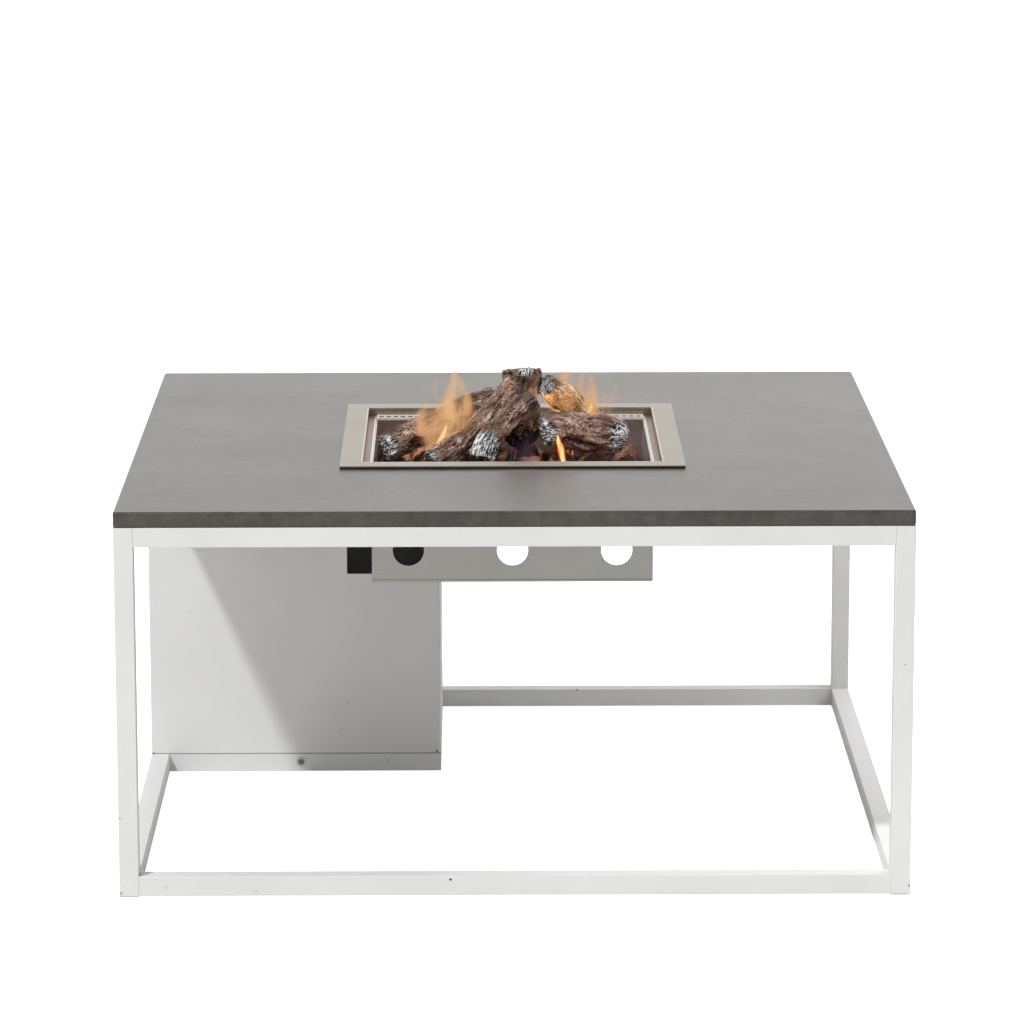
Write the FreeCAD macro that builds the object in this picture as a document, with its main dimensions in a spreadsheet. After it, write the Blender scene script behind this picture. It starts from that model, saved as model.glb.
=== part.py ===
import FreeCAD, Part

# Gas fire pit coffee table: a welded square-tube frame under a stone-like slab, a drop-in steel
# burner with lava stones and ceramic logs, and a sheet-steel housing for the gas bottle.
# Millimetres. X runs to the right, Y to the back, Z up; the origin is on the floor under the
# centre of the slab.

import math
import os
import random
import re

import Sketcher

from FreeCAD import Placement, Rotation, Vector

os.makedirs("parts", exist_ok=True)
doc = FreeCAD.newDocument("FireTable")

# Driving sizes. Each one is a cell of the sheet under its own name.
SIZES = {
    # slab and frame
    "table_side": 1000,
    "table_height": 497,
    "slab_thick": 20,
    "slab_corner": 5,
    "slab_edge": 3,
    "cutout_side": 402,
    "tube_size": 25,
    "tube_wall": 1.5,
    "tube_edge": 1.2,
    "glide_thick": 2,
    "bar_centre": 222,
    "tab_side": 48,
    "tab_thick": 2,
    "screw_radius": 2.4,
    # burner
    "rim_side": 451,
    "rim_opening": 392,
    "rim_thick": 1.5,
    "rim_corner": 1.5,
    "seal_thick": 2,
    "seal_inset": 1,
    "seal_width": 8,
    "ledge_depth": 10,
    "ledge_thick": 1.5,
    "lip_drop": 10,
    "strip_inner": 174,
    "hem_drop": 3.5,
    "box_side": 370,
    "box_bottom": 337,
    "box_flange": 16,
    "box_bend": 3,
    "box_leg": 20,
    "sheet_thick": 1.5,
    "air_hole": 20.5,
    "air_pitch": 137,
    "air_level": 379.5,
    "vent_hole": 2.8,
    "vent_row": 182,
    "vent_pitch": 9.9,
    "vent_start": -178.2,
    "vent_count": 37,
    "pan_level": 405,
    "pan_thick": 2,
    "pan_lip": 12,
    "bar_offset": 84,
    "burner_radius": 8,
    "burner_length": 300,
    "manifold_level": 389,
    # bottle housing
    "housing_left": -500,
    "housing_right": -97,
    "housing_front": 110,
    "housing_bend": 5,
    "notch_left": -226,
    "notch_back": 240,
    "notch_bottom": 283,
    "bar_screw_across": -292,
    "bar_screw_level": 15.5,
    "door_gap": 2.2,
    "door_flange": 15,
    "door_front": 113,
    "door_back": 471.5,
    "hinge_across": -492,
    "hinge_along": 465,
    "pin_radius": 3,
    "pin_play": 0.05,
    "bush_radius": 5,
    "collar_thick": 2,
    "finger_hole": 15,
    # controls
    "panel_outer": 475,
    "valve_across": -150,
    "igniter_across": -215,
    "control_level": 381,
    "spindle_radius": 4,
    "knob_radius": 19,
    "knob_near": 480.5,
    "knob_far": 498,
    "bezel_radius": 23,
    "button_radius": 9,
    "button_play": 0.06,
    "button_face": 487,
    "pipe_radius": 4,
    "pipe_bend": 22,
    "nipple_radius": 4.5,
    "nipple_length": 32,
}

sheet = doc.addObject("Spreadsheet::Sheet", "Sizes")
for row, (word, number) in enumerate(SIZES.items(), start=1):
    sheet.set(f"A{row}", word)
    sheet.set(f"B{row}", str(number))
    sheet.setAlias(f"B{row}", word)
doc.recompute()

nodes = []


def size(word):
    """One size, read back from the sheet."""
    return float(sheet.get(word))


def formula(text):
    """A formula with the sheet's name put before every cell's name."""
    return re.sub(r"[a-z][a-z_]{2,}", lambda word: "Sizes." + word.group(0), str(text))


def place(thing, x, y, z, turn=None):
    """Put an object at three formulas, turned once if a turn is given."""
    thing.Placement = Placement(Vector(), turn or Rotation())
    for axis, text in (("x", x), ("y", y), ("z", z)):
        thing.setExpression(".Placement.Base." + axis, formula(text))
    return thing


def node(thing, label):
    """Name a finished sub-part and keep it for writing."""
    thing.Label = label
    nodes.append(thing)
    return thing


def along_x():
    return Rotation(Vector(0, 1, 0), 90)


def along_y():
    return Rotation(Vector(1, 0, 0), -90)


# Helpers for part-design bodies


def new_body(label):
    return node(doc.addObject("PartDesign::Body", label), label)


def sketch_on(body, name, role, away="0"):
    """Sketch on one of the body's own origin planes, moved along the plane's normal."""
    sketch = body.newObject("Sketcher::SketchObject", name)
    plane = [feature for feature in body.Origin.OriginFeatures if feature.Role == role][0]
    sketch.AttachmentSupport = [(plane, "")]
    sketch.MapMode = "FlatFace"
    sketch.setExpression(".AttachmentOffset.Base.z", formula(away))
    return sketch


def rectangle(sketch, name, left, right, low, high):
    """Upright rectangle whose four sides are held by formulas."""
    first = sketch.GeometryCount
    corners = [Vector(-1, -1, 0), Vector(1, -1, 0), Vector(1, 1, 0), Vector(-1, 1, 0)]
    for start, end in zip(corners, corners[1:] + corners[:1]):
        sketch.addGeometry(Part.LineSegment(start, end))
    for side in range(4):
        following = first + (side + 1) % 4
        sketch.addConstraint(Sketcher.Constraint("Coincident", first + side, 2, following, 1))
    for side in (0, 2):
        sketch.addConstraint(Sketcher.Constraint("Horizontal", first + side))
        sketch.addConstraint(Sketcher.Constraint("Vertical", first + side + 1))
    holds = (
        ("DistanceX", 0, -1, "left", left),
        ("DistanceX", 1, 1, "right", right),
        ("DistanceY", 0, -1, "low", low),
        ("DistanceY", 2, 1, "high", high),
    )
    for kind, side, value, word, text in holds:
        index = sketch.addConstraint(Sketcher.Constraint(kind, -1, 1, first + side, 1, value))
        sketch.renameConstraint(index, name + word)
        sketch.setExpression("Constraints." + name + word, formula(text))


def circle(sketch, name, across, up, radius):
    """Circle held by its centre and radius."""
    index = sketch.addGeometry(Part.Circle(Vector(1, 1, 0), Vector(0, 0, 1), 1))
    holds = (
        ("x", Sketcher.Constraint("DistanceX", -1, 1, index, 3, 1), across),
        ("y", Sketcher.Constraint("DistanceY", -1, 1, index, 3, 1), up),
        ("radius", Sketcher.Constraint("Radius", index, 1), radius),
    )
    for word, constraint, text in holds:
        held = sketch.addConstraint(constraint)
        sketch.renameConstraint(held, name + word)
        sketch.setExpression("Constraints." + name + word, formula(text))


def pad(body, sketch, name, length, backwards=False):
    feature = body.newObject("PartDesign::Pad", name)
    feature.Profile = sketch
    feature.setExpression("Length", formula(length))
    feature.Reversed = backwards
    sketch.Visibility = False
    return feature


def pocket(body, sketch, name, length=None, backwards=False, both_ways=False):
    """Pocket of a given depth, or through everything when no depth is given."""
    feature = body.newObject("PartDesign::Pocket", name)
    feature.Profile = sketch
    feature.Reversed = backwards
    if both_ways:
        feature.SideType = "Symmetric"
    if length is None:
        feature.Type = "ThroughAll"
    else:
        feature.setExpression("Length", formula(length))
    sketch.Visibility = False
    return feature


def round_edges(body, base, name, radius, chosen):
    """Fillet the edges of a feature that a test picks."""
    doc.recompute()
    names = []
    for number, edge in enumerate(base.Shape.Edges, start=1):
        if chosen(edge):
            names.append(f"Edge{number}")
    feature = body.newObject("PartDesign::Fillet", name)
    feature.Base = (base, names)
    feature.setExpression("Radius", formula(radius))
    return feature


def upright(edge):
    """True for a straight edge along local Z."""
    ends = [vertex.Point for vertex in edge.Vertexes]
    if len(ends) < 2:
        return False
    run = ends[1] - ends[0]
    return abs(run.x) + abs(run.y) < 0.001 < abs(run.z)


def outer_corner(half):
    """Test for upright edges that stand at plus or minus half in both directions."""
    def chosen(edge):
        spot = edge.CenterOfMass
        return upright(edge) and abs(abs(spot.x) - half) < 0.01 and abs(abs(spot.y) - half) < 0.01
    return chosen


# Helpers for solids made from primitives


def cylinder(name, radius, length, x, y, z, turn=None):
    thing = doc.addObject("Part::Cylinder", name)
    thing.setExpression("Radius", formula(radius))
    thing.setExpression("Height", formula(length))
    return place(thing, x, y, z, turn)


def block(name, length, width, height, x, y, z):
    thing = doc.addObject("Part::Box", name)
    for word, text in (("Length", length), ("Width", width), ("Height", height)):
        thing.setExpression(word, formula(text))
    return place(thing, x, y, z)


def hexagon(name, across_flats, length, x, y, z, turn=None):
    """Hexagonal prism such as a nut."""
    thing = doc.addObject("Part::Prism", name)
    thing.Polygon = 6
    thing.setExpression("Circumradius", formula(across_flats) + " / 1.7320508")
    thing.setExpression("Height", formula(length))
    return place(thing, x, y, z, turn)


def cut(name, base, tool):
    thing = doc.addObject("Part::Cut", name)
    thing.Base = base
    thing.Tool = tool
    return thing


def fuse(name, things):
    thing = doc.addObject("Part::MultiFuse", name)
    thing.Shapes = things
    return thing


def group(name, things):
    """Separate solids that share one node."""
    thing = doc.addObject("Part::Compound", name)
    thing.Links = things
    return thing


# Frame


def square_tube(label, length, x, y, z, turn=None):
    """Square steel tube along its local Z axis, hollow, with slightly rounded long edges."""
    body = new_body(label)
    section = sketch_on(body, label + "_section", "XY_Plane")
    rectangle(section, "outer", "-tube_size / 2", "tube_size / 2", "-tube_size / 2", "tube_size / 2")
    inner = "(tube_size / 2 - tube_wall)"
    rectangle(section, "inner", "-" + inner, inner, "-" + inner, inner)
    run = pad(body, section, label + "_run", length)
    round_edges(body, run, label + "_edges", "tube_edge", outer_corner(size("tube_size") / 2))
    place(body, x, y, z, turn)
    return body


EDGE = "(table_side / 2 - tube_size / 2)"
FRAME_TOP = "(table_height - slab_thick)"
RAIL_LENGTH = "table_side - 2 * tube_size"
RAIL_START = "-(table_side / 2 - tube_size)"
SIDES = (("left", "-"), ("right", ""))
ENDS = (("front", "-"), ("back", ""))

for end, end_sign in ENDS:
    for side, side_sign in SIDES:
        square_tube(f"leg_{end}_{side}", FRAME_TOP + " - glide_thick",
                    side_sign + EDGE, end_sign + EDGE, "glide_thick")

for level, height in (("top", FRAME_TOP + " - tube_size / 2"), ("bottom", "glide_thick + tube_size / 2")):
    for end, sign in ENDS:
        square_tube(f"{level}_rail_{end}", RAIL_LENGTH, RAIL_START, sign + EDGE, height, along_x())
    for side, sign in SIDES:
        square_tube(f"{level}_rail_{side}", RAIL_LENGTH, sign + EDGE, RAIL_START, height, along_y())

for end, sign in ENDS:
    square_tube(f"cross_bar_{end}", RAIL_LENGTH, RAIL_START, sign + "bar_centre",
                FRAME_TOP + " - tube_size / 2", along_x())

BAR_LEVEL = "glide_thick + tube_size / 2"
square_tube("base_bar_front", "housing_right + table_side / 2 - tube_size", RAIL_START,
            "housing_front + tube_size / 2", BAR_LEVEL, along_x())
square_tube("base_bar_side", "table_side / 2 - 2 * tube_size - housing_front",
            "housing_right - tube_size / 2", "housing_front + tube_size", BAR_LEVEL, along_y())


def find(label):
    return [thing for thing in nodes if thing.Label == label][0]


def drill(label, tools):
    """Cut tools out of a finished sub-part, which keeps its node's name."""
    base = find(label)
    nodes.remove(base)
    base.Label = label + "_uncut"
    tool = tools[0] if len(tools) == 1 else fuse(label + "_tools", tools)
    return node(cut(label + "_drilled", base, tool), label)


def foot_glides():
    """Plastic end plugs: a thin pad on the floor with a shank inside each leg."""
    shank = "(tube_size - 2 * tube_wall - 0.2)"
    pieces = []
    for end, end_sign in ENDS:
        for side, side_sign in SIDES:
            name = f"glide_{end}_{side}"
            foot = block(name + "_pad", "tube_size - 1", "tube_size - 1", "glide_thick",
                         side_sign + EDGE + " - (tube_size - 1) / 2",
                         end_sign + EDGE + " - (tube_size - 1) / 2", "0")
            stem = block(name + "_stem", shank, shank, "14",
                         side_sign + EDGE + " - " + shank + " / 2",
                         end_sign + EDGE + " - " + shank + " / 2", "1")
            pieces.append(fuse(name, [foot, stem]))
    node(group("glides", pieces), "foot_glides")


foot_glides()


# Slab with its fixings


def table_top():
    """Cast slab with a square cut-out, soft corners and soft edges; screw holes from below."""
    body = new_body("table_top")
    outline = sketch_on(body, "slab_outline", "XY_Plane")
    rectangle(outline, "outer", "-table_side / 2", "table_side / 2", "-table_side / 2", "table_side / 2")
    rectangle(outline, "inner", "-cutout_side / 2", "cutout_side / 2", "-cutout_side / 2", "cutout_side / 2")
    plate = pad(body, outline, "slab_plate", "slab_thick")
    holes = sketch_on(body, "slab_holes", "XY_Plane")
    for number, (across, along) in enumerate(TAB_SPOTS):
        circle(holes, f"hole{number}", across, along, "screw_radius + 0.05")
    drilled = pocket(body, holes, "slab_drilling", "13", backwards=True)
    half = size("table_side") / 2
    corners = round_edges(body, drilled, "slab_corners", "slab_corner", outer_corner(half))

    def outer_loop(edge):
        spot = edge.CenterOfMass
        return max(abs(spot.x), abs(spot.y)) > half - 2 and not upright(edge)

    round_edges(body, corners, "slab_edges", "slab_edge", outer_loop)
    place(body, "0", "0", FRAME_TOP)


TAB_INSET = "(table_side / 2 - tube_size - 14)"
TAB_SPOTS = [(sx + TAB_INSET, sy + TAB_INSET) for sx in ("-", "") for sy in ("-", "")]
table_top()


def corner_tabs():
    """Triangular steel tabs welded into the frame's top corners, each with a screw into the slab."""
    tabs = []
    screws = []
    for number, (across, along) in enumerate(TAB_SPOTS):
        side_x = -1 if across.startswith("-") else 1
        side_y = -1 if along.startswith("-") else 1
        inner = size("table_side") / 2 - size("tube_size")
        reach = size("tab_side")
        corner = Vector(side_x * inner, side_y * inner, 0)
        along_front = corner - Vector(side_x * reach, 0, 0)
        along_side = corner - Vector(0, side_y * reach, 0)
        triangle = Part.Face(Part.makePolygon([corner, along_front, along_side, corner]))
        plate = doc.addObject("Part::Feature", f"tab_plate{number}")
        plate.Shape = triangle.extrude(Vector(0, 0, size("tab_thick")))
        place(plate, "0", "0", FRAME_TOP + " - tab_thick")
        hole = cylinder(f"tab_hole{number}", "screw_radius + 0.3", "tab_thick + 2", across, along,
                        FRAME_TOP + " - tab_thick - 1")
        tabs.append(cut(f"tab{number}", plate, hole))
        head = cylinder(f"tab_head{number}", "screw_radius * 2", "2.2", across, along,
                        FRAME_TOP + " - tab_thick - 2.2")
        shank = cylinder(f"tab_shank{number}", "screw_radius", "14", across, along,
                         FRAME_TOP + " - tab_thick - 0.5")
        screws.append(fuse(f"tab_screw{number}", [head, shank]))
    node(group("tabs", tabs), "corner_tabs")
    node(group("screws", screws), "tab_screws")


corner_tabs()


# Burner


def square_ring(sketch, outer_side, inner_side):
    """Two centred squares, each given by its side."""
    for name, side in (("outer", outer_side), ("inner", inner_side)):
        half = "(" + side + ") / 2"
        rectangle(sketch, name, "-" + half, half, "-" + half, half)


WALL_SIDE = "rim_opening + 2 * sheet_thick"
LEDGE_LEVEL = "(table_height + seal_thick - ledge_depth + rim_thick)"


def rim_seal():
    """Black foam strip between slab and burner flange."""
    body = new_body("rim_seal")
    ring = sketch_on(body, "seal_ring", "XY_Plane")
    square_ring(ring, "rim_side - 2 * seal_inset", "rim_side - 2 * seal_inset - 2 * seal_width")
    pad(body, ring, "seal_strip", "seal_thick")
    place(body, "0", "0", "table_height")


rim_seal()


def burner_rim():
    """Folded steel rim: a flat flange on the slab, a wall down through the cut-out and a plain
    ledge on each side, turned down along its inner edge."""
    body = new_body("burner_rim")
    flange_ring = sketch_on(body, "flange_ring", "XY_Plane")
    square_ring(flange_ring, "rim_side", "rim_opening")
    flange = pad(body, flange_ring, "flange", "rim_thick")
    half = size("rim_side") / 2
    round_edges(body, flange, "flange_corners", "rim_corner", outer_corner(half))
    wall_ring = sketch_on(body, "wall_ring", "XY_Plane")
    square_ring(wall_ring, WALL_SIDE, "rim_opening")
    pad(body, wall_ring, "wall", "ledge_depth - rim_thick + ledge_thick", backwards=True)
    ledge = sketch_on(body, "ledge_strips", "XY_Plane", "rim_thick - ledge_depth")
    lip = sketch_on(body, "lip_strips", "XY_Plane", "rim_thick - ledge_depth")
    wide = "(" + WALL_SIDE + ") / 2"
    near = "box_side / 2"
    for name, low, high in (("left", "-" + wide, "-" + near), ("right", near, wide)):
        rectangle(ledge, name, low, high, "-" + wide, wide)
    for name, low, high in (("left", "-" + near + " - sheet_thick", "-" + near),
                            ("right", near, near + " + sheet_thick")):
        rectangle(lip, name, low, high, "-" + near, near)
    pad(body, ledge, "side_ledges", "ledge_thick", backwards=True)
    pad(body, lip, "side_lips", "lip_drop", backwards=True)
    place(body, "0", "0", "table_height + seal_thick")


burner_rim()


def vent_strip(end, sign):
    """Perforated ledge across the front or back of the opening. It lies on the burner box's top
    edge and has a hem along its inner edge."""
    body = new_body("vent_strip_" + end)
    half = "(box_side / 2)"
    wall = "(rim_opening / 2)"
    hem = "(strip_inner + sheet_thick)"
    low, high = ("strip_inner", wall) if sign == "" else ("-" + wall, "-strip_inner")
    plate = sketch_on(body, end + "_plate", "XY_Plane")
    rectangle(plate, "plate", "-" + half, half, low, high)
    pad(body, plate, end + "_ledge", "ledge_thick")
    low, high = ("strip_inner", hem) if sign == "" else ("-" + hem, "-strip_inner")
    fold = sketch_on(body, end + "_fold", "XY_Plane", "ledge_thick")
    between_walls = "(box_side / 2 - sheet_thick)"
    rectangle(fold, "fold", "-" + between_walls, between_walls, low, high)
    pad(body, fold, end + "_hem", "hem_drop", backwards=True)
    doc.recompute()
    solid = body.Shape.Volume
    hole = sketch_on(body, end + "_hole", "XY_Plane", "ledge_thick")
    circle(hole, "vent", "vent_start", sign + "vent_row", "vent_hole")
    first = pocket(body, hole, end + "_vent", "ledge_thick")
    row_of_holes = body.newObject("PartDesign::LinearPattern", end + "_vents")
    row_of_holes.Originals = [first]
    row_of_holes.Direction = (hole, ["H_Axis"])
    row_of_holes.Mode = "Spacing"
    row_of_holes.setExpression("Offset", formula("vent_pitch"))
    row_of_holes.setExpression("Occurrences", formula("vent_count"))
    body.Tip = row_of_holes
    doc.recompute()
    removed = solid - body.Shape.Volume
    wanted = size("vent_count") * math.pi * size("vent_hole") ** 2 * size("ledge_thick")
    print(f"{end} vents remove {removed:.0f} of {wanted:.0f} cubic mm")
    place(body, "0", "0", LEDGE_LEVEL + " - ledge_thick")


for end, sign in ENDS:
    vent_strip(end, sign)


BOX_HEIGHT = "(" + LEDGE_LEVEL + " - ledge_thick - box_bottom)"
BOX_STRAIGHT = "(box_side / 2 - box_leg)"


def box_panel(end, sign):
    """Front or back of the burner box: a sheet with three round air holes, bent round both
    corners and turned in along its lower edge."""
    body = new_body("burner_box_" + end)
    walls = sketch_on(body, end + "_box_walls", "XY_Plane")
    square_ring(walls, "box_side", "box_side - 2 * sheet_thick")
    wall = pad(body, walls, end + "_box_wall", BOX_HEIGHT)
    half = size("box_side") / 2
    bends = round_edges(body, wall, end + "_box_bends", "box_bend", outer_corner(half))
    round_edges(body, bends, end + "_box_inner_bends", "box_bend - sheet_thick",
                outer_corner(half - size("sheet_thick")))
    turned = sketch_on(body, end + "_turned_edge", "XY_Plane")
    square_ring(turned, "box_side - 2", "box_side - 2 * box_flange")
    pad(body, turned, end + "_turned_flange", "sheet_thick")
    rest = sketch_on(body, end + "_box_rest", "XY_Plane")
    limits = ("-box_side", BOX_STRAIGHT) if sign == "" else ("-" + BOX_STRAIGHT, "box_side")
    rectangle(rest, "rest", "-box_side", "box_side", *limits)
    pocket(body, rest, end + "_box_trim", backwards=True)
    doc.recompute()
    before = body.Shape.Volume
    holes = sketch_on(body, end + "_air_holes", "XZ_Plane")
    for number, spot in enumerate(("-air_pitch", "0", "air_pitch")):
        circle(holes, f"air{number}", spot, "air_level - box_bottom", "air_hole")
    pocket(body, holes, end + "_air_hole_cut", both_ways=True)
    doc.recompute()
    removed = before - body.Shape.Volume
    wanted = 3 * math.pi * size("air_hole") ** 2 * size("sheet_thick")
    print(f"{end} air holes remove {removed:.0f} of {wanted:.0f} cubic mm")
    place(body, "0", "0", "box_bottom")


for end, sign in ENDS:
    box_panel(end, sign)


def box_side_plate(side, sign):
    """Side of the burner box: a plate between the front's and the back's corner bends, turned in
    along its lower edge."""
    body = new_body("burner_box_" + side)
    outer = sign + "box_side / 2"
    inner = sign + "(box_side / 2 - sheet_thick)"
    lap = sign + "(box_side / 2 - box_flange)"
    edges = (outer, inner, lap) if sign == "-" else (lap, inner, outer)
    plan = sketch_on(body, side + "_plate_plan", "XY_Plane")
    wall = edges[:2] if sign == "-" else edges[1:]
    rectangle(plan, "wall", *wall, "-" + BOX_STRAIGHT, BOX_STRAIGHT)
    pad(body, plan, side + "_plate", BOX_HEIGHT)
    turned = sketch_on(body, side + "_plate_turn", "XY_Plane")
    rectangle(turned, "turn", edges[0], edges[2], "-" + BOX_STRAIGHT, BOX_STRAIGHT)
    pad(body, turned, side + "_plate_flange", "sheet_thick")
    place(body, "0", "0", "box_bottom")


for side, sign in SIDES:
    box_side_plate(side, sign)


def burner_pan():
    """Tray that carries the burner bars and the stones, with its edges turned up to the walls and
    two holes for the risers."""
    body = new_body("burner_pan")
    side = "(box_side / 2 - sheet_thick)"
    floor = sketch_on(body, "pan_floor", "XY_Plane")
    rectangle(floor, "plate", "-" + side, side, "-" + side, side)
    for number, spot in enumerate(("-bar_offset", "bar_offset")):
        circle(floor, f"riser{number}", "0", spot, "burner_radius + 0.3")
    plate = pad(body, floor, "pan_plate", "pan_thick")
    round_edges(body, plate, "pan_corners", "box_bend - sheet_thick",
                outer_corner(size("box_side") / 2 - size("sheet_thick")))
    rim = sketch_on(body, "pan_rim", "XY_Plane")
    inner = side[:-1] + " - sheet_thick)"
    outer = side
    straight = side[:-1] + " - 3)"
    for name, sign in (("front", "-"), ("back", "")):
        limits = [sign + inner, sign + outer]
        low, high = limits if sign == "" else limits[::-1]
        rectangle(rim, name, "-" + straight, straight, low, high)
    for name, sign in SIDES:
        limits = [sign + inner, sign + outer]
        low, high = limits if sign == "" else limits[::-1]
        rectangle(rim, name, low, high, "-" + straight, straight)
    pad(body, rim, "pan_edge", "pan_lip")
    place(body, "0", "0", "pan_level")


burner_pan()


def burner_bars():
    """Two burner tubes on the pan, each fed by a riser from one manifold below the pan."""
    rest = "pan_level + pan_thick + burner_radius"
    pieces = []
    for end, sign in ENDS:
        pieces.append(cylinder("bar_" + end, "burner_radius", "burner_length", "-burner_length / 2",
                               sign + "bar_offset", rest, along_x()))
        pieces.append(cylinder("riser_" + end, "burner_radius", rest + " - manifold_level", "0",
                               sign + "bar_offset", "manifold_level"))
    pieces.append(cylinder("manifold", "burner_radius", "2 * bar_offset + 12", "0",
                           "-bar_offset - 6", "manifold_level", along_y()))
    pieces.append(cylinder("mixing_tube", "burner_radius - 1.5", "26", "0", "bar_offset + 4",
                           "manifold_level", along_y()))
    node(fuse("burner_tubes", pieces), "burner_bars")


burner_bars()


def gas_injector():
    """Brass injector that joins the supply pipe to the burner's mixing tube."""
    start = "bar_offset + 30"
    nut = hexagon("injector_nut", "17", "10", "0", start, "manifold_level", along_y())
    body = cylinder("injector_body", "7", "8", "0", start + " + 10", "manifold_level", along_y())
    node(fuse("injector", [nut, body]), "gas_injector")


gas_injector()

FLOOR = "pan_level + pan_thick"


def pilot_parts():
    """Bracket beside the front burner bar with the spark electrode and the flame sensor."""
    across = "burner_length / 2 + 8"
    foot = block("pilot_foot", "20", "14", "1.5", across + " - 4", "-bar_offset - 7", FLOOR)
    post = block("pilot_post", "1.5", "14", "22", across + " + 14.5", "-bar_offset - 7", FLOOR)
    shelf = block("pilot_shelf", "20", "14", "1.5", across + " - 4", "-bar_offset - 7",
                  FLOOR + " + 20.5")
    frame = fuse("pilot_frame", [foot, post, shelf])
    holes = []
    for name, spot in (("spark", across + " + 0.5"), ("sensor", across + " + 9.5")):
        holes.append(cylinder(name + "_hole", "3.05", "6", spot, "-bar_offset", FLOOR + " + 18"))
    node(cut("pilot", frame, fuse("pilot_holes", holes)), "pilot_bracket")
    ceramic = cylinder("spark_ceramic", "3", "24", across + " + 0.5", "-bar_offset", FLOOR + " + 8")
    tip = cylinder("spark_tip", "0.9", "8", across + " + 0.5", "-bar_offset", FLOOR + " + 31")
    node(fuse("spark", [ceramic, tip]), "spark_electrode")
    stem = cylinder("sensor_stem", "3", "16", across + " + 9.5", "-bar_offset", FLOOR + " + 8")
    nose = cylinder("sensor_nose", "2", "12", across + " + 9.5", "-bar_offset", FLOOR + " + 23")
    node(fuse("sensor", [stem, nose]), "flame_sensor")


pilot_parts()

# Ceramic logs. Each station is a point of the log's centre line and the radius there.
LOG_RUNS = {
    "log_charred": [
        (36, 30, 544, 12.9), (20, 22, 535, 14.2), (0, 10, 522, 14.2), (-18, -2, 507, 14.8),
        (-31, -12, 492, 16.8), (-37, -16, 480, 17.5),
    ],
    "log_main": [
        (15, 80, 574, 25.2), (15, 76, 557, 27.3), (5, 66, 542, 23.8), (-15, 50, 526, 18.3),
        (-39, 30, 508, 16.9), (-59, 14, 490, 16.9), (-78, 0, 473, 21.6), (-91, -8, 461, 25),
    ],
    "log_rear": [
        (-170, 28, 481, 17.6), (-153, 36, 487, 20.4), (-122, 50, 495, 21.1), (-86, 66, 506, 19.8),
        (-54, 82, 519, 20.5), (-30, 96, 526, 19.2), (-6, 108, 532, 16.4),
    ],
    "log_back": [
        (53, 62, 557, 12.9), (66, 70, 545, 16.1), (78, 82, 531, 16.8), (92, 98, 515, 17.5),
        (111, 118, 495, 18.6), (125, 134, 477, 17.2),
    ],
    "log_right": [
        (42, 18, 504, 22.3), (58, 21, 503, 23.7), (81, 24, 499, 23.7), (106, 28, 493, 26.4),
        (129, 31, 490, 27.1), (149, 34, 487, 23.7),
    ],
    "log_under": [
        (38, 72, 513, 15), (25, 62, 502, 19.7), (10, 52, 490, 21.1), (-1, 44, 481, 19.7),
    ],
}

# A log's skin stands off its centre line by its radius times this at most.
LOG_SWELL = 1.14

# Lava stones stand on the pan in rows that leave a lane for each burner bar.
STONE_ROWS = (-159, -114, -53, 0, 53, 114, 159)
STONE_COLUMNS = 8
STONE_RADIUS = 21.3
STONE_HEIGHT = 46
TALLEST_STONE = 58
STONE_SPAN = 318


def log_underside(x, y):
    """Height of the lowest log above the stone at a place, or None where no log passes."""
    heights = []
    for stations in LOG_RUNS.values():
        for start, end in zip(stations, stations[1:]):
            for share in (0, 0.25, 0.5, 0.75, 1):
                across, along, up, radius = [a + (b - a) * share for a, b in zip(start, end)]
                if math.hypot(across - x, along - y) < radius + STONE_RADIUS:
                    heights.append(up - LOG_SWELL * radius)
    return min(heights, default=None)


def icosahedron():
    """Corners and faces of a regular icosahedron of radius one."""
    golden = (1 + math.sqrt(5)) / 2
    corners = []
    for first in (-1, 1):
        for second in (-golden, golden):
            corners.append(Vector(0, first, second).normalize())
            corners.append(Vector(first, second, 0).normalize())
            corners.append(Vector(second, 0, first).normalize())
    side = min((corners[0] - other).Length for other in corners[1:])
    faces = []
    for a in range(12):
        for b in range(a + 1, 12):
            for c in range(b + 1, 12):
                sides = [(corners[p] - corners[q]).Length for p, q in ((a, b), (b, c), (a, c))]
                if max(sides) < side * 1.01:
                    faces.append((a, b, c))
    return corners, faces


def lava_stone(centre_x, centre_y, top, chance):
    """Broken stone: a jittered icosahedron that stands on the pan and reaches up to its top."""
    corners, faces = icosahedron()
    turn = Rotation(chance.uniform(0, 360), chance.uniform(0, 360), chance.uniform(0, 360))
    points = [turn.multVec(corner) * chance.uniform(0.84, 1.0) for corner in corners]
    low = min(point.z for point in points)
    high = max(point.z for point in points)
    floor = size("pan_level") + size("pan_thick")
    placed = []
    for point in points:
        rise = (point.z - low) / (high - low)
        placed.append(Vector(centre_x + point.x * STONE_RADIUS, centre_y + point.y * STONE_RADIUS,
                             floor + rise * (top - floor)))
    sides = []
    for face in faces:
        loop = [placed[number] for number in face]
        sides.append(Part.Face(Part.makePolygon(loop + loop[:1])))
    stone = Part.Solid(Part.Shell(sides))
    if stone.Volume < 0:
        stone.reverse()
    return stone


def lava_stones():
    """Bed of loose stones; those below a log reach up to it and carry it."""
    chance = random.Random(11)
    pitch = STONE_SPAN / (STONE_COLUMNS - 1)
    floor = size("pan_level") + size("pan_thick")
    stones = []
    for along in STONE_ROWS:
        for column in range(STONE_COLUMNS):
            across = -STONE_SPAN / 2 + column * pitch
            top = floor + STONE_HEIGHT + chance.uniform(-5, 1)
            log = log_underside(across, along)
            if log is not None:
                top = min(log - 1, floor + TALLEST_STONE)
            stones.append(lava_stone(across, along, top, chance))
    thing = doc.addObject("Part::Feature", "stones")
    thing.Shape = Part.makeCompound(stones)
    thing.Placement = Placement()
    node(thing, "lava_stones")


lava_stones()

LOG_POINTS = 9
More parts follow.
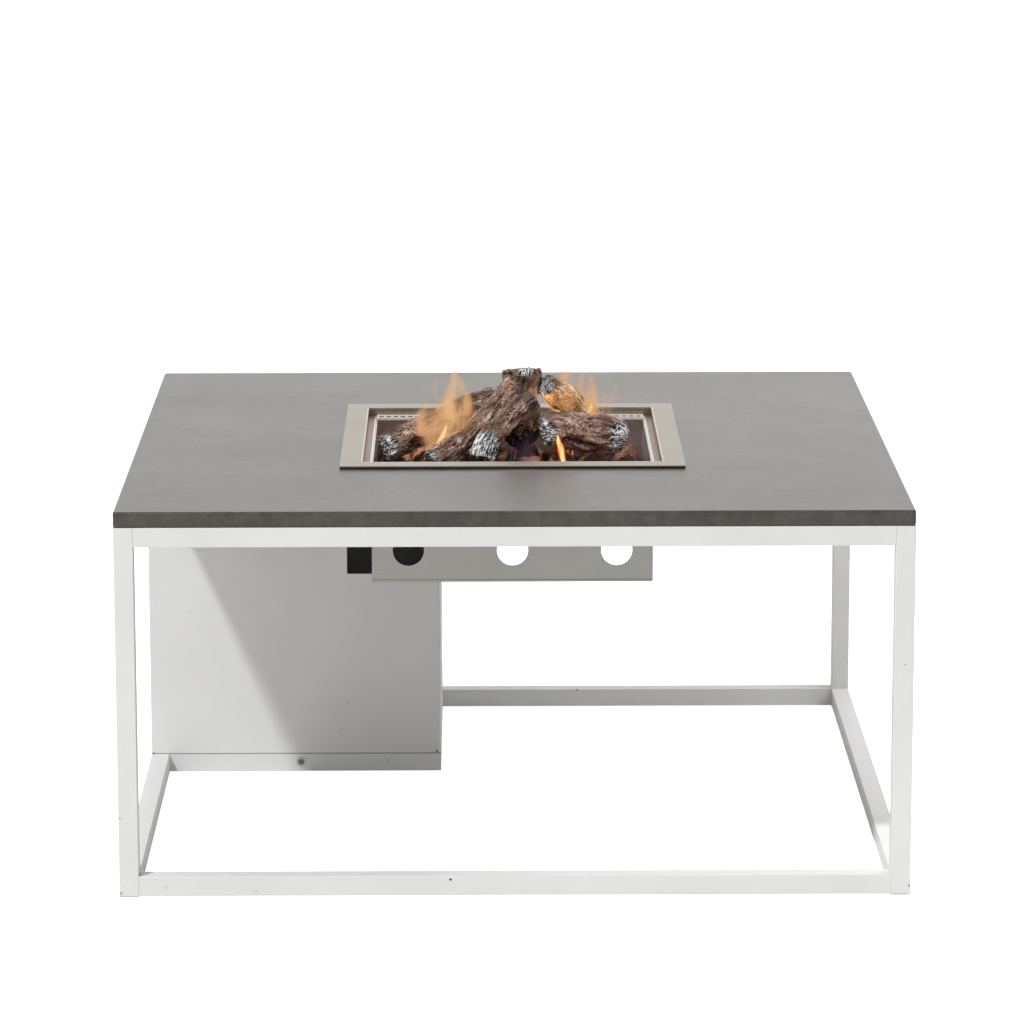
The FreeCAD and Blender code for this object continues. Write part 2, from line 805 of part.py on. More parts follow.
# A direction that crosses every log, from which its rings are turned.
LOG_FACING = Vector(1, -1, 0)
END_LENGTH = 0.14
END_RADIUS = 0.86


def log_ring(centre, along, radius, phase):
    """Lobed closed curve round a log, square to its centre line."""
    side = along.cross(LOG_FACING).normalize()
    up = side.cross(along).normalize()
    points = []
    for number in range(LOG_POINTS):
        angle = 2 * math.pi * number / LOG_POINTS
        lobes = 1 + 0.08 * math.cos(2 * angle + phase) + 0.06 * math.cos(3 * angle - 2 * phase)
        around = side * math.cos(angle) + up * math.sin(angle)
        points.append(centre + around * (radius * lobes))
    curve = Part.BSplineCurve()
    curve.interpolate(points, PeriodicFlag=True)
    return Part.Wire(curve.toShape())


def log_solid(stations, phase):
    """Loft through the stations with a smaller ring close to each end, so that an end is cut off
    square with a worn edge."""
    centres = [Vector(*station[:3]) for station in stations]
    radii = [station[3] for station in stations]
    first = (centres[1] - centres[0]).normalize()
    last = (centres[-1] - centres[-2]).normalize()
    rings = [log_ring(centres[0] - first * radii[0] * END_LENGTH, first, radii[0] * END_RADIUS, phase)]
    for number, centre in enumerate(centres):
        before = centres[max(number - 1, 0)]
        after = centres[min(number + 1, len(centres) - 1)]
        rings.append(log_ring(centre, (after - before).normalize(), radii[number], phase + 0.5 * number))
    final = phase + 0.5 * (len(centres) - 1)
    rings.append(log_ring(centres[-1] + last * radii[-1] * END_LENGTH, last, radii[-1] * END_RADIUS, final))
    return Part.makeLoft(rings, True, False)


def ceramic_logs():
    """Six logs; a later log is notched where it lies against the earlier ones."""
    placed = []
    for number, (label, stations) in enumerate(LOG_RUNS.items()):
        shape = log_solid(stations, 1.3 * number)
        for other in placed:
            if shape.BoundBox.intersect(other.BoundBox):
                shape = shape.cut(other)
        shape = max(shape.Solids, key=lambda solid: solid.Volume)
        placed.append(shape)
        thing = doc.addObject("Part::Feature", label + "_body")
        thing.Shape = shape
        thing.Placement = Placement()
        node(thing, label)


ceramic_logs()


# Bottle housing


def housing_shell():
    """Front and right side of the housing, folded from one sheet, with a notch for the burner box
    and a corner cut away round the frame's left top rail."""
    body = new_body("housing_shell")
    outline = sketch_on(body, "shell_outline", "XY_Plane")
    rectangle(outline, "outer", "housing_left", "housing_right", "housing_front", "panel_outer")
    blank = pad(body, outline, "shell_blank", FRAME_TOP + " - 1 - glide_thick - tube_size")
    right = size("housing_right")
    front = size("housing_front")

    def fold_at(x, y):
        def chosen(edge):
            spot = edge.CenterOfMass
            return upright(edge) and abs(spot.x - x) < 0.01 and abs(spot.y - y) < 0.01
        return chosen

    round_edges(body, blank, "shell_fold", "housing_bend", fold_at(right, front))
    inside = sketch_on(body, "shell_inside", "XY_Plane")
    rectangle(inside, "inner", "housing_left - 5", "housing_right - sheet_thick",
              "housing_front + sheet_thick", "panel_outer + 5")
    hollow = pocket(body, inside, "shell_hollow", backwards=True)
    sheet_size = size("sheet_thick")
    round_edges(body, hollow, "shell_inner_fold", "housing_bend - sheet_thick",
                fold_at(right - sheet_size, front + sheet_size))
    base = "(glide_thick + tube_size)"
    notch = sketch_on(body, "shell_notch", "XY_Plane", "notch_bottom - " + base)
    rectangle(notch, "notch", "notch_left", "housing_right + 5", "housing_front - 5", "notch_back")
    pocket(body, notch, "burner_notch", backwards=True)
    corner = sketch_on(body, "shell_corner", "XY_Plane", FRAME_TOP + " - tube_size - 0.5 - " + base)
    rectangle(corner, "corner", "housing_left - 5", RAIL_START + " + 0.5", "housing_front - 5",
              "housing_front + 5")
    pocket(body, corner, "rail_notch", backwards=True)
    relief = sketch_on(body, "shell_relief", "XZ_Plane", "-(housing_front + 2 * sheet_thick)")
    for number, spot in enumerate(("housing_left + 4", "housing_right - housing_bend")):
        circle(relief, f"relief{number}", spot, "0.8", "1.3")
    pocket(body, relief, "bend_reliefs", "3 * sheet_thick", backwards=True)
    place(body, "0", "0", base)


housing_shell()

HOUSING_FLOOR = "(glide_thick + tube_size)"
INNER_RIGHT = "(housing_right - sheet_thick)"


def housing_floor():
    """Plate on the base tubes that the gas bottle stands on, with four drain and vent slots."""
    body = new_body("housing_floor")
    outline = sketch_on(body, "floor_outline", "XY_Plane")
    rectangle(outline, "plate", "housing_left + 16", INNER_RIGHT + " - 0.3",
              "housing_front + sheet_thick + 0.3 + 3", "panel_outer - sheet_thick - 0.2")
    pad(body, outline, "floor_plate", "sheet_thick")
    slots = sketch_on(body, "floor_slots", "XY_Plane")
    for number in range(4):
        left = f"-400 + {number * 70}"
        rectangle(slots, f"slot{number}", left, left + " + 40", "150", "156")
    pocket(body, slots, "floor_slot_cut", "sheet_thick", backwards=True)
    place(body, "0", "0", HOUSING_FLOOR)


housing_floor()


def bar_fixing():
    """Screw recessed in the base tube's front, inside a pressed collar."""
    across = "bar_screw_across"
    level = "bar_screw_level"
    front = "housing_front"
    hole = cylinder("bar_front_hole", "4.85", "tube_wall + 1", across, front + " - 0.5", level, along_y())
    far = cylinder("bar_back_hole", "2.6", "tube_wall + 2", across,
                   front + " + tube_size - tube_wall - 1", level, along_y())
    drill("base_bar_front", [hole, far])
    ring = cylinder("collar_ring", "6.5", "0.9", across, front + " - 0.9", level, along_y())
    bore = cylinder("collar_bore", "4.8", "3", across, front + " - 1.9", level, along_y())
    node(cut("collar", ring, bore), "screw_collar")
    head = cylinder("bar_screw_head", "4.6", "3.5", across, front + " + 1", level, along_y())
    socket = hexagon("bar_screw_socket", "4", "2", across, front + " + 0.5", level, along_y())
    shank = cylinder("bar_screw_shank", "2.5", "23", across, front + " + 3", level, along_y())
    node(cut("bar_screw_solid", fuse("bar_screw_blank", [head, shank]), socket), "bar_screw")


bar_fixing()


def control_panel():
    """Back panel inside the frame's back rails, folded in along its lower edge, with vent slots
    and holes for the gas valve and the igniter."""
    body = new_body("control_panel")
    low = "(" + HOUSING_FLOOR + " + sheet_thick)"
    left = RAIL_START + " + 0.3"
    right = INNER_RIGHT + " - 0.3"
    face = sketch_on(body, "panel_face", "XZ_Plane", "-panel_outer")
    rectangle(face, "plate", left, right, "0", FRAME_TOP + " - tab_thick - 0.5 - " + low)
    circle(face, "valve", "valve_across", "control_level - " + low, "9")
    circle(face, "igniter", "igniter_across", "control_level - " + low, "11")
    for number in range(5):
        slot_low = f"40 + {number * 14}"
        rectangle(face, f"vent{number}", "-320", "-240", slot_low, slot_low + " + 5")
    pad(body, face, "panel_plate", "sheet_thick")
    fold = sketch_on(body, "panel_fold", "XY_Plane")
    rectangle(fold, "fold", left, right, "panel_outer - 14", "panel_outer - 0.5")
    pad(body, fold, "panel_flange", "sheet_thick")
    place(body, "0", "0", low)


control_panel()

PANEL_SCREWS = ("-440", "-300", "-130")


def panel_screws():
    """Short screws: three through the panel into the back top rail, three into the floor."""
    low = HOUSING_FLOOR
    top = FRAME_TOP + " - tube_size / 2"
    flat = "panel_outer - 7"
    pieces = []
    rail_holes = []
    panel_holes = []
    floor_holes = []
    back = "panel_outer - sheet_thick"
    turn = along_y()
    for number, across in enumerate(PANEL_SCREWS):
        head = cylinder(f"top_head{number}", "4", "2", across, back + " - 2", top, turn)
        shank = cylinder(f"top_shank{number}", "2", "8", across, back + " - 1", top, turn)
        pieces.append(fuse(f"top_screw{number}", [head, shank]))
        rail_holes.append(cylinder(f"rail_hole{number}", "2.05", "6", across,
                                   "panel_outer - 3", top, turn))
        panel_holes.append(cylinder(f"panel_hole{number}", "2.05", "6", across,
                                    "panel_outer - 4", top, turn))
        head = cylinder(f"low_head{number}", "4", "2", across, flat, low + " + 2 * sheet_thick")
        shank = cylinder(f"low_shank{number}", "2", "3.5", across, flat, low + " + 0.1")
        pieces.append(fuse(f"low_screw{number}", [head, shank]))
        floor_holes.append(cylinder(f"floor_hole{number}", "2.05", "4", across, flat, low + " - 1"))
        panel_holes.append(cylinder(f"fold_hole{number}", "2.05", "4", across, flat, low + " + 1"))
    drill("top_rail_back", rail_holes)
    drill("housing_floor", floor_holes)
    drill("control_panel", panel_holes)
    node(group("all_panel_screws", pieces), "panel_screws")


panel_screws()


def housing_door():
    """Door on the left: a sheet with all four edges folded in and a round finger hole."""
    body = new_body("housing_door")
    deep = "door_flange"
    face = sketch_on(body, "door_face", "XY_Plane")
    rectangle(face, "outer", "housing_left", "housing_left + " + deep, "door_front", "door_back")
    height = FRAME_TOP + " - 2 * tube_size - glide_thick - 2 * door_gap"
    slab = pad(body, face, "door_block", height)
    left = size("housing_left")

    def outer_upright(edge):
        return upright(edge) and abs(edge.CenterOfMass.x - left) < 0.01

    round_edges(body, slab, "door_folds", "2", outer_upright)
    hollow = sketch_on(body, "door_inside", "YZ_Plane", "housing_left + sheet_thick")
    rectangle(hollow, "inside", "door_front + sheet_thick", "door_back - sheet_thick", "sheet_thick",
              height + " - sheet_thick")
    pocket(body, hollow, "door_hollow", deep, backwards=True)
    hole = sketch_on(body, "door_finger", "YZ_Plane", "housing_left - 2")
    circle(hole, "finger", "door_front + 45", height + " - 190", "finger_hole")
    pocket(body, hole, "door_finger_hole", "6", backwards=True)
    place(body, "0", "0", HOUSING_FLOOR + " + door_gap")


housing_door()


def door_hinge():
    """Steel pin pressed into the door's top and bottom fold; each turns in a flanged plastic bush
    that sits in the wall of the frame's rail."""
    spot = ("hinge_across", "hinge_along")
    low_rail = HOUSING_FLOOR
    high_rail = FRAME_TOP + " - tube_size"
    ends = (
        ("low", "bottom_rail_left", low_rail, low_rail + " - 5", low_rail, low_rail + " - 4",
         low_rail + " + 0.5"),
        ("high", "top_rail_left", high_rail, high_rail, high_rail + " - collar_thick",
         high_rail + " - 8", high_rail + " - 6.5"),
    )
    pins = []
    bushes = []
    door_holes = []
    for name, rail, face, sleeve_low, collar_low, pin_low, hole_low in ends:
        drill(rail, [cylinder(name + "_rail_hole", "bush_radius", "12", *spot, face + " - 6")])
        sleeve = cylinder(name + "_sleeve", "bush_radius - 0.02", "5", *spot, sleeve_low)
        collar = cylinder(name + "_collar", "bush_radius + 2.5", "collar_thick", *spot, collar_low)
        bore = cylinder(name + "_bore", "pin_radius + pin_play", "30", *spot, face + " - 15")
        bushes.append(cut(name + "_bush", fuse(name + "_bush_blank", [sleeve, collar]), bore))
        pins.append(cylinder(name + "_pin", "pin_radius", "12", *spot, pin_low))
        door_holes.append(cylinder(name + "_door_hole", "pin_radius", "6", *spot, hole_low))
    drill("housing_door", door_holes)
    node(group("pins", pins), "door_pins")
    node(group("bushes", bushes), "door_bushes")


door_hinge()


def door_catch():
    """Magnet block on the front sheet, just behind the door's folded edge."""
    magnet = block("catch_block", "12", "14", "40", "housing_left + door_flange + 0.4",
                   "housing_front + sheet_thick", "230")
    node(magnet, "door_catch")


door_catch()


# Controls


def control_valve():
    """Brass valve on the back panel, bored for its spindle, with the pipe outlet in front."""
    turn = along_y()
    body = block("valve_block", "28", "30", "30", "valve_across - 14", "panel_outer - 35",
                 "control_level - 15")
    neck = cylinder("valve_neck", "8.8", "6.5", "valve_across", "panel_outer - 6",
                    "control_level", turn)
    outlet = hexagon("valve_outlet", "15", "12", "valve_across", "panel_outer - 46",
                     "control_level", turn)
    bore = cylinder("valve_bore", "spindle_radius + pin_play", "30", "valve_across",
                    "panel_outer - 22", "control_level", turn)
    node(cut("valve", fuse("valve_solid", [body, neck, outlet]), bore), "control_valve")
    spindle = cylinder("spindle", "spindle_radius", "35", "valve_across", "panel_outer - 21",
                       "control_level", turn)
    node(spindle, "valve_spindle")


control_valve()


def knob_bezel():
    """Flat ring round the spindle on the outside of the panel."""
    turn = along_y()
    ring = cylinder("bezel_ring", "bezel_radius", "1.5", "valve_across", "panel_outer",
                    "control_level", turn)
    bore = cylinder("bezel_bore", "9", "4", "valve_across", "panel_outer - 1",
                    "control_level", turn)
    node(cut("bezel", ring, bore), "knob_bezel")


knob_bezel()


def control_knob():
    """Turned knob with a skirt, a domed edge, grip flutes and a blind bore for the spindle."""
    body = new_body("control_knob")
    outline = sketch_on(body, "knob_section", "XY_Plane")
    circle(outline, "skirt", "0", "0", "knob_radius")
    pad(body, outline, "knob_skirt", "4")
    top = sketch_on(body, "knob_top", "XY_Plane")
    circle(top, "grip", "0", "0", "knob_radius - 3")
    grip = pad(body, top, "knob_grip", "knob_far - knob_near")
    doc.recompute()
    far = size("knob_far") - size("knob_near")

    def top_edge(edge):
        return abs(edge.CenterOfMass.z - far) < 0.01 and not upright(edge)

    round_edges(body, grip, "knob_dome", "2", top_edge)
    flute = sketch_on(body, "knob_flute", "XY_Plane", "knob_far - knob_near")
    circle(flute, "flute", "knob_radius", "0", "5")
    first = pocket(body, flute, "knob_first_flute", "knob_far - knob_near - 4.5")
    ring = body.newObject("PartDesign::PolarPattern", "knob_flutes")
    ring.Originals = [first]
    ring.Axis = (flute, ["N_Axis"])
    ring.Angle = 360
    ring.Occurrences = 6
    body.Tip = ring
    bore = sketch_on(body, "knob_bore", "XY_Plane")
    circle(bore, "bore", "0", "0", "spindle_radius + pin_play")
    pocket(body, bore, "knob_bore_cut", "13", backwards=True)
    place(body, "valve_across", "knob_near", "control_level", along_y())


control_knob()


def igniter():
    """Piezo igniter: a barrel through the panel, a nut behind it and a push button in its bore."""
    turn = along_y()
    across = "igniter_across"
    level = "control_level"
    barrel = cylinder("igniter_barrel", "10.9", "45", across, "panel_outer - 45", level, turn)
    collar = cylinder("igniter_collar", "13.5", "3.5", across, "panel_outer", level, turn)
    bore = cylinder("igniter_bore", "button_radius", "30", across, "panel_outer - 16", level, turn)
    node(cut("igniter_shell", fuse("igniter_blank", [barrel, collar]), bore), "igniter_body")
    start = "panel_outer - 8"
    node(cylinder("button", "button_radius - button_play", "button_face - (" + start + ")", across,
                  start, level, turn), "igniter_button")
    nut = hexagon("nut_blank", "27", "4", across, "panel_outer - sheet_thick - 4", level, turn)
    thread = cylinder("nut_thread", "10.95", "8", across, "panel_outer - sheet_thick - 6", level, turn)
    node(cut("nut", nut, thread), "igniter_nut")


igniter()


def gas_inlet():
    """Hose tail below the valve: a hexagon and a plain nipple that points down."""
    top = "control_level - 15"
    nut = hexagon("inlet_nut", "14", "7", "valve_across", "panel_outer - 25", top + " - 7")
    nipple = cylinder("inlet_nipple", "nipple_radius", "nipple_length", "valve_across",
                      "panel_outer - 25", top + " - 7 - nipple_length")
    node(fuse("inlet", [nut, nipple]), "gas_inlet")


gas_inlet()


def supply_pipe():
    """Bent pipe from the valve through an air hole at the back of the burner box to the injector."""
    across = size("valve_across")
    level = size("control_level")
    low = size("manifold_level")
    start = Vector(across, size("panel_outer") - 46, level)
    turn_y = size("bar_offset") + 66
    finish = Vector(0, size("bar_offset") + 48, low)
    bend = size("pipe_bend")
    corner_one = Vector(across, turn_y, level)
    corner_two = Vector(0, turn_y, low)
    edges = []
    point = start
    for corner, after in ((corner_one, corner_two), (corner_two, finish)):
        arrive = (corner - point).normalize()
        leave = (after - corner).normalize()
        half_turn = arrive.getAngle(leave) / 2
        trim = min(bend * math.tan(half_turn), 0.8 * (after - corner).Length)
        radius = trim / math.tan(half_turn)
        begin = corner - arrive * trim
        end = corner + leave * trim
        inward = (leave - arrive).normalize()
        centre = corner + inward * (radius / math.cos(half_turn))
        middle = centre - inward * radius
        edges.append(Part.makeLine(point, begin))
        edges.append(Part.Arc(begin, middle, end).toShape())
        point = end
    edges.append(Part.makeLine(point, finish))
    path = Part.Wire(edges)
    ring = Part.Wire(Part.makeCircle(size("pipe_radius"), start, Vector(0, -1, 0)))
    thing = doc.addObject("Part::Feature", "pipe")
    thing.Shape = path.makePipeShell([ring], True, False)
    thing.Placement = Placement()
    area = math.pi * size("pipe_radius") ** 2
    print(f"pipe volume {thing.Shape.Volume:.0f}, section times length {area * path.Length:.0f}")
    node(thing, "supply_pipe")


supply_pipe()

# Every object is checked before anything is written.
doc.recompute()
failed = []
for thing in doc.Objects:
    if "Invalid" in thing.State or "Error" in thing.State:
        failed.append(thing.Name)
for thing in nodes:
    if thing.Shape.isNull() or not thing.Shape.isValid() or not thing.Shape.Solids:
        failed.append(thing.Label)
if failed:
    raise RuntimeError("failed: " + ", ".join(failed))

for thing in nodes:
    thing.Shape.exportStep(f"parts/{thing.Label}.step")
    print(thing.Label, len(thing.Shape.Solids), round(thing.Shape.Volume))
print(len(nodes), "nodes")
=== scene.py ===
"""Looks of the gas fire pit coffee table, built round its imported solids, in metres."""

import math

import bpy
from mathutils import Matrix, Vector


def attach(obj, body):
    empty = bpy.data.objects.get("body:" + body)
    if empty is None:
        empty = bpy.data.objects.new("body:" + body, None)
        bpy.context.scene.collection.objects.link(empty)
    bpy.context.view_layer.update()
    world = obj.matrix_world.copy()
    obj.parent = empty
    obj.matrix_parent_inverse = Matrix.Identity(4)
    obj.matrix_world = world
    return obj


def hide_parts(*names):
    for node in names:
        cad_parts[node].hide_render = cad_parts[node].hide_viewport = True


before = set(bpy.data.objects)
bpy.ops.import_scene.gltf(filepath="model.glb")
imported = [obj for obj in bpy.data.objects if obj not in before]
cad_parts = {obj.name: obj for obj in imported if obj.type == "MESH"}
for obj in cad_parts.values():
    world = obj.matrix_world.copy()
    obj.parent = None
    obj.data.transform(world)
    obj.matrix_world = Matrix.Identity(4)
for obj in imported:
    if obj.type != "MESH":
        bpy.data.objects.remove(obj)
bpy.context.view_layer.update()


# Studio: the camera stands about six metres in front of the table and a little above
# its slab, which is where the photograph was taken from.

camera = bpy.data.objects.new("camera", bpy.data.cameras.new("camera"))
bpy.context.scene.collection.objects.link(camera)
bpy.context.scene.camera = camera
camera.data.sensor_width = 36
camera.data.lens = 161.74
camera.location = (-0.05205, -6.09718, 1.65777)
camera.rotation_euler = (math.pi / 2 - 0.2046, 0.0010, -0.0089)
bpy.context.scene.view_settings.view_transform = "Standard"


def linear(hex_colour):
    """The linear red, green, blue and alpha of an sRGB hex colour."""
    parts = [int(hex_colour[i:i + 2], 16) / 255 for i in (1, 3, 5)]
    return [p / 12.92 if p < 0.04045 else ((p + 0.055) / 1.055) ** 2.4 for p in parts] + [1]


def add(tree, kind, feeds, **settings):
    """One node of a material: its settings, and what feeds each input, a value or an output."""
    made = tree.nodes.new("ShaderNode" + kind)
    for name, value in settings.items():
        setattr(made, name, value)
    for socket, source in feeds.items():
        if isinstance(source, bpy.types.NodeSocket):
            tree.links.new(source, made.inputs[socket])
        else:
            made.inputs[socket].default_value = source
    return made


# The room is a white tent: it shows as white paper, and lights the table at half that. Its
# back wall, far behind, is as bright as it looks, and the slab shines with it.
room = bpy.data.worlds.new("white_tent")
room.use_nodes = True
bpy.context.scene.world = room
sky = room.node_tree
sky.nodes.clear()
eye = add(sky, "LightPath", {})
paper = add(sky, "Background", {"Color": (1, 1, 1, 1), "Strength": 1.0})
tent = add(sky, "Background", {"Color": (1, 0.98, 0.955, 1), "Strength": 0.51})
seen = add(sky, "MixShader", {0: eye.outputs["Is Camera Ray"], 1: tent.outputs[0],
                              2: paper.outputs[0]})
add(sky, "OutputWorld", {"Surface": seen.outputs[0]})

bpy.ops.object.select_all(action="DESELECT")
bpy.ops.mesh.primitive_plane_add(size=60, location=(0, 0, -0.0005))
floor = bpy.context.object
floor.name = "floor"
pale = bpy.data.materials.new("pale_paper")
pale.use_nodes = True
sheet = pale.node_tree
sheet.nodes.clear()
eye = add(sheet, "LightPath", {})
glow = add(sheet, "Emission", {"Color": (1, 1, 1, 1), "Strength": 0.97})
matt = add(sheet, "BsdfDiffuse", {"Color": linear("#efefed")})
lit = add(sheet, "AddShader", {0: glow.outputs[0], 1: matt.outputs[0]})
seen = add(sheet, "MixShader", {0: eye.outputs["Is Camera Ray"], 1: matt.outputs[0],
                                2: lit.outputs[0]})
add(sheet, "OutputMaterial", {"Surface": seen.outputs[0]})
floor.data.materials.append(pale)

bpy.ops.object.select_all(action="DESELECT")
bpy.ops.mesh.primitive_plane_add(size=1, location=(0, 11, 4))
back_wall = bpy.context.object
back_wall.name = "back_wall"
back_wall.scale = (30, 8, 1)
back_wall.rotation_euler = (math.pi / 2, 0, 0)
paper_wall = bpy.data.materials.new("lit_paper")
paper_wall.use_nodes = True
sheet = paper_wall.node_tree
sheet.nodes.clear()
glow = add(sheet, "Emission", {"Color": (1, 0.985, 0.965, 1), "Strength": 1.13})
add(sheet, "OutputMaterial", {"Surface": glow.outputs[0]})
back_wall.data.materials.append(paper_wall)

# The main lamp is high on the left and in front. A small panel of light on the right is for the
# floor rail and the back leg there.
lamp = bpy.data.objects.new("main_lamp", bpy.data.lights.new("main_lamp", "SUN"))
bpy.context.scene.collection.objects.link(lamp)
lamp.data.energy = 2.15
lamp.data.angle = math.radians(3.6)
lamp.data.color = (0.985, 0.99, 1)
lamp.rotation_euler = Vector((0.46, 0.55, -1)).to_track_quat("-Z", "Y").to_euler()

panel = bpy.data.objects.new("side_panel", bpy.data.lights.new("side_panel", "AREA"))
bpy.context.scene.collection.objects.link(panel)
panel.data.shape = "RECTANGLE"
panel.data.size = 0.5
panel.data.size_y = 0.3
panel.data.energy = 8
panel.data.color = (1, 0.985, 0.965)
panel.location = (1.15, 0.3, 0.9)
panel.rotation_euler = Vector((-0.66, -0.25, -0.85)).to_track_quat("-Z", "Y").to_euler()
panel.visible_camera = False
panel.visible_glossy = False

# A dark card on the right in front takes a little light off the frame's right side.
bpy.ops.object.select_all(action="DESELECT")
bpy.ops.mesh.primitive_plane_add(size=1, location=(1.9, -1.2, 0.6))
card = bpy.context.object
card.name = "dark_card"
card.scale = (1.4, 2.2, 1)
card.rotation_euler = (0, math.pi / 2, 0)
black_card = bpy.data.materials.new("black_card")
black_card.use_nodes = True
black_card.node_tree.nodes["Principled BSDF"].inputs["Base Color"].default_value = linear("#101010")
card.data.materials.append(black_card)
card.visible_camera = False
card.visible_glossy = False


# Frame: 25 mm square steel tube, cut square, welded, ground flush, and powder coated white in
# one piece. The coat is satin, has a fine orange peel, and is chipped in a few places.

def new_finish(name):
    """A new material, its nodes, and its surface shader."""
    material = bpy.data.materials.new(name)
    material.use_nodes = True
    return material, material.node_tree, material.node_tree.nodes["Principled BSDF"]


def dress(material, *nodes):
    """Gives a material to solids that stay as they are."""
    for name in nodes:
        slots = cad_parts[name].data.materials
        slots.clear()
        slots.append(material)


def tint(ramp, *stops):
    """Gives a colour ramp its stops: how far along each one is, and its sRGB hex colour."""
    points = ramp.color_ramp.elements
    for number in (0, -1):
        points[number].position = stops[number][0]
        points[number].color = linear(stops[number][1])
    for along, colour in stops[1:-1]:
        points.new(along).color = linear(colour)


def powder_coat(name, tones, marks):
    """Polyester powder, baked: a satin coat whose surface ripples a little. The marks are
    places with a radius, and the colour that shows there: chips and rubs in the coat, and painted
    shade in small holes."""
    material, tree, surface = new_finish(name)
    place = add(tree, "TexCoord", {}).outputs["Object"]
    drift = add(tree, "TexNoise", {"Vector": place, "Scale": 9.0, "Detail": 3.0})
    shade = add(tree, "ValToRGB", {"Fac": drift.outputs["Fac"]})
    tint(shade, (0.3, tones[0]), (0.7, tones[1]))
    tone = shade.outputs["Color"]
    ragged = add(tree, "TexNoise", {"Vector": place, "Scale": 900.0, "Detail": 2.0})
    for x, y, z, radius, mark_colour in marks:
        away = add(tree, "VectorMath", {0: place, 1: (x, y, z)}, operation="DISTANCE")
        edge = add(tree, "Math", {0: ragged.outputs["Fac"], 1: radius, 2: away.outputs["Value"]},
                   operation="MULTIPLY_ADD")
        mark_share = add(tree, "MapRange", {"Value": edge.outputs[0], "From Min": radius * 1.6,
                                      "From Max": radius * 1.3, "To Min": 0.0, "To Max": 1.0})
        laid = add(tree, "Mix", {0: mark_share.outputs[0], 6: tone, 7: linear(mark_colour)}, data_type="RGBA")
        tone = laid.outputs[2]
    tree.links.new(tone, surface.inputs["Base Color"])
    peel = add(tree, "TexNoise", {"Vector": place, "Scale": 420.0, "Detail": 2.0})
    sheen = add(tree, "MapRange", {"Value": drift.outputs["Fac"], "To Min": 0.40, "To Max": 0.50})
    tree.links.new(sheen.outputs[0], surface.inputs["Roughness"])
    ripple = add(tree, "Bump", {"Height": peel.outputs["Fac"], "Strength": 0.06,
                                "Distance": 0.0004})
    tree.links.new(ripple.outputs[0], surface.inputs["Normal"])
    surface.inputs["IOR"].default_value = 1.5
    surface.inputs["Coat Weight"].default_value = 0.1
    surface.inputs["Coat Roughness"].default_value = 0.3
    return material


FRAME_WEAR = [
    (-0.0815, -0.5, 0.0223, 0.0018, "#4a4541"), (-0.498, -0.5, 0.0055, 0.0022, "#b9b5b0"),
    (0.499, -0.5, 0.0123, 0.0022, "#aaa6a2"), (-0.327, -0.5, 0.0082, 0.0020, "#cfcbc6"),
    (-0.441, -0.5, 0.0131, 0.0024, "#d9cfbb"), (-0.4975, -0.5, 0.1036, 0.0018, "#d2c7b4"),
    (-0.172, 0.11, 0.0168, 0.0020, "#cfc9b9"), (0.489, -0.5, 0.300, 0.0012, "#b5b1ac"),
    (0.1, 0.475, 0.0272, 0.0020, "#8d857d"),
]
white_coat = powder_coat("white_powder_coat", ("#dfe0e0", "#e5e6e6"), FRAME_WEAR)
dress(white_coat, "leg_front_left", "leg_front_right", "leg_back_left", "leg_back_right",
      "top_rail_front", "top_rail_back", "top_rail_left", "top_rail_right",
      "bottom_rail_front", "bottom_rail_back", "bottom_rail_left", "bottom_rail_right",
      "base_bar_front", "base_bar_side", "cross_bar_front", "cross_bar_back", "corner_tabs")


# Leg plugs: white polythene glides with a fine matt grain, moulded in one shot each. They are
# pressed into the open ends of the legs, and the table stands on them.

def moulded(name, tones, grit, rough):
    """Plastic, foam or ceramic with the grain of its mould, which breaks up the gloss. The grit is
    the grain's size in metres, drawn coarser than it is so that it shows."""
    material, tree, surface = new_finish(name)
    place = add(tree, "TexCoord", {}).outputs["Object"]
    grain = add(tree, "TexNoise", {"Vector": place, "Scale": 1 / grit, "Detail": 3.0})
    shade = add(tree, "ValToRGB", {"Fac": grain.outputs["Fac"]})
    tint(shade, (0, tones[0]), (1, tones[1]))
    tree.links.new(shade.outputs["Color"], surface.inputs["Base Color"])
    polish = add(tree, "MapRange", {"Value": grain.outputs["Fac"], "To Min": rough - 0.08,
                                    "To Max": rough + 0.08})
    tree.links.new(polish.outputs[0], surface.inputs["Roughness"])
    dull = add(tree, "Bump", {"Height": grain.outputs["Fac"], "Strength": 0.25,
                              "Distance": grit * 0.3})
    tree.links.new(dull.outputs[0], surface.inputs["Normal"])
    return material


polythene = moulded("white_polythene", ("#cfcecb", "#dcdbd8"), 0.0012, 0.55)
dress(polythene, "foot_glides")


# Slab: one cast panel of grey stone composite, 20 mm thick, its face brushed lightly from side
# to side. It has faint clouds, mottles, streaks and a fine grain, and shines at a low angle.

stone, tree, surface = new_finish("grey_stone_composite")
place = add(tree, "TexCoord", {}).outputs["Object"]
cloud = add(tree, "TexNoise", {"Vector": place, "Scale": 6.0, "Detail": 6.0, "Roughness": 0.6})
drawn = add(tree, "Mapping", {"Vector": place, "Scale": (5.0, 90.0, 60.0)})
streak = add(tree, "TexNoise", {"Vector": drawn.outputs[0], "Scale": 1.0, "Detail": 5.0,
                                "Roughness": 0.55})
grit = add(tree, "TexNoise", {"Vector": place, "Scale": 700.0, "Detail": 3.0})
wide = add(tree, "Mix", {0: 0.30, 2: cloud.outputs["Fac"], 3: streak.outputs["Fac"]})
mottle = add(tree, "TexNoise", {"Vector": place, "Scale": 48.0, "Detail": 4.0, "Roughness": 0.7})
coarse = add(tree, "Mix", {0: 0.55, 2: wide.outputs[0], 3: mottle.outputs["Fac"]})
full = add(tree, "Mix", {0: 0.18, 2: coarse.outputs[0], 3: grit.outputs["Fac"]})
shade = add(tree, "ValToRGB", {"Fac": full.outputs[0]})
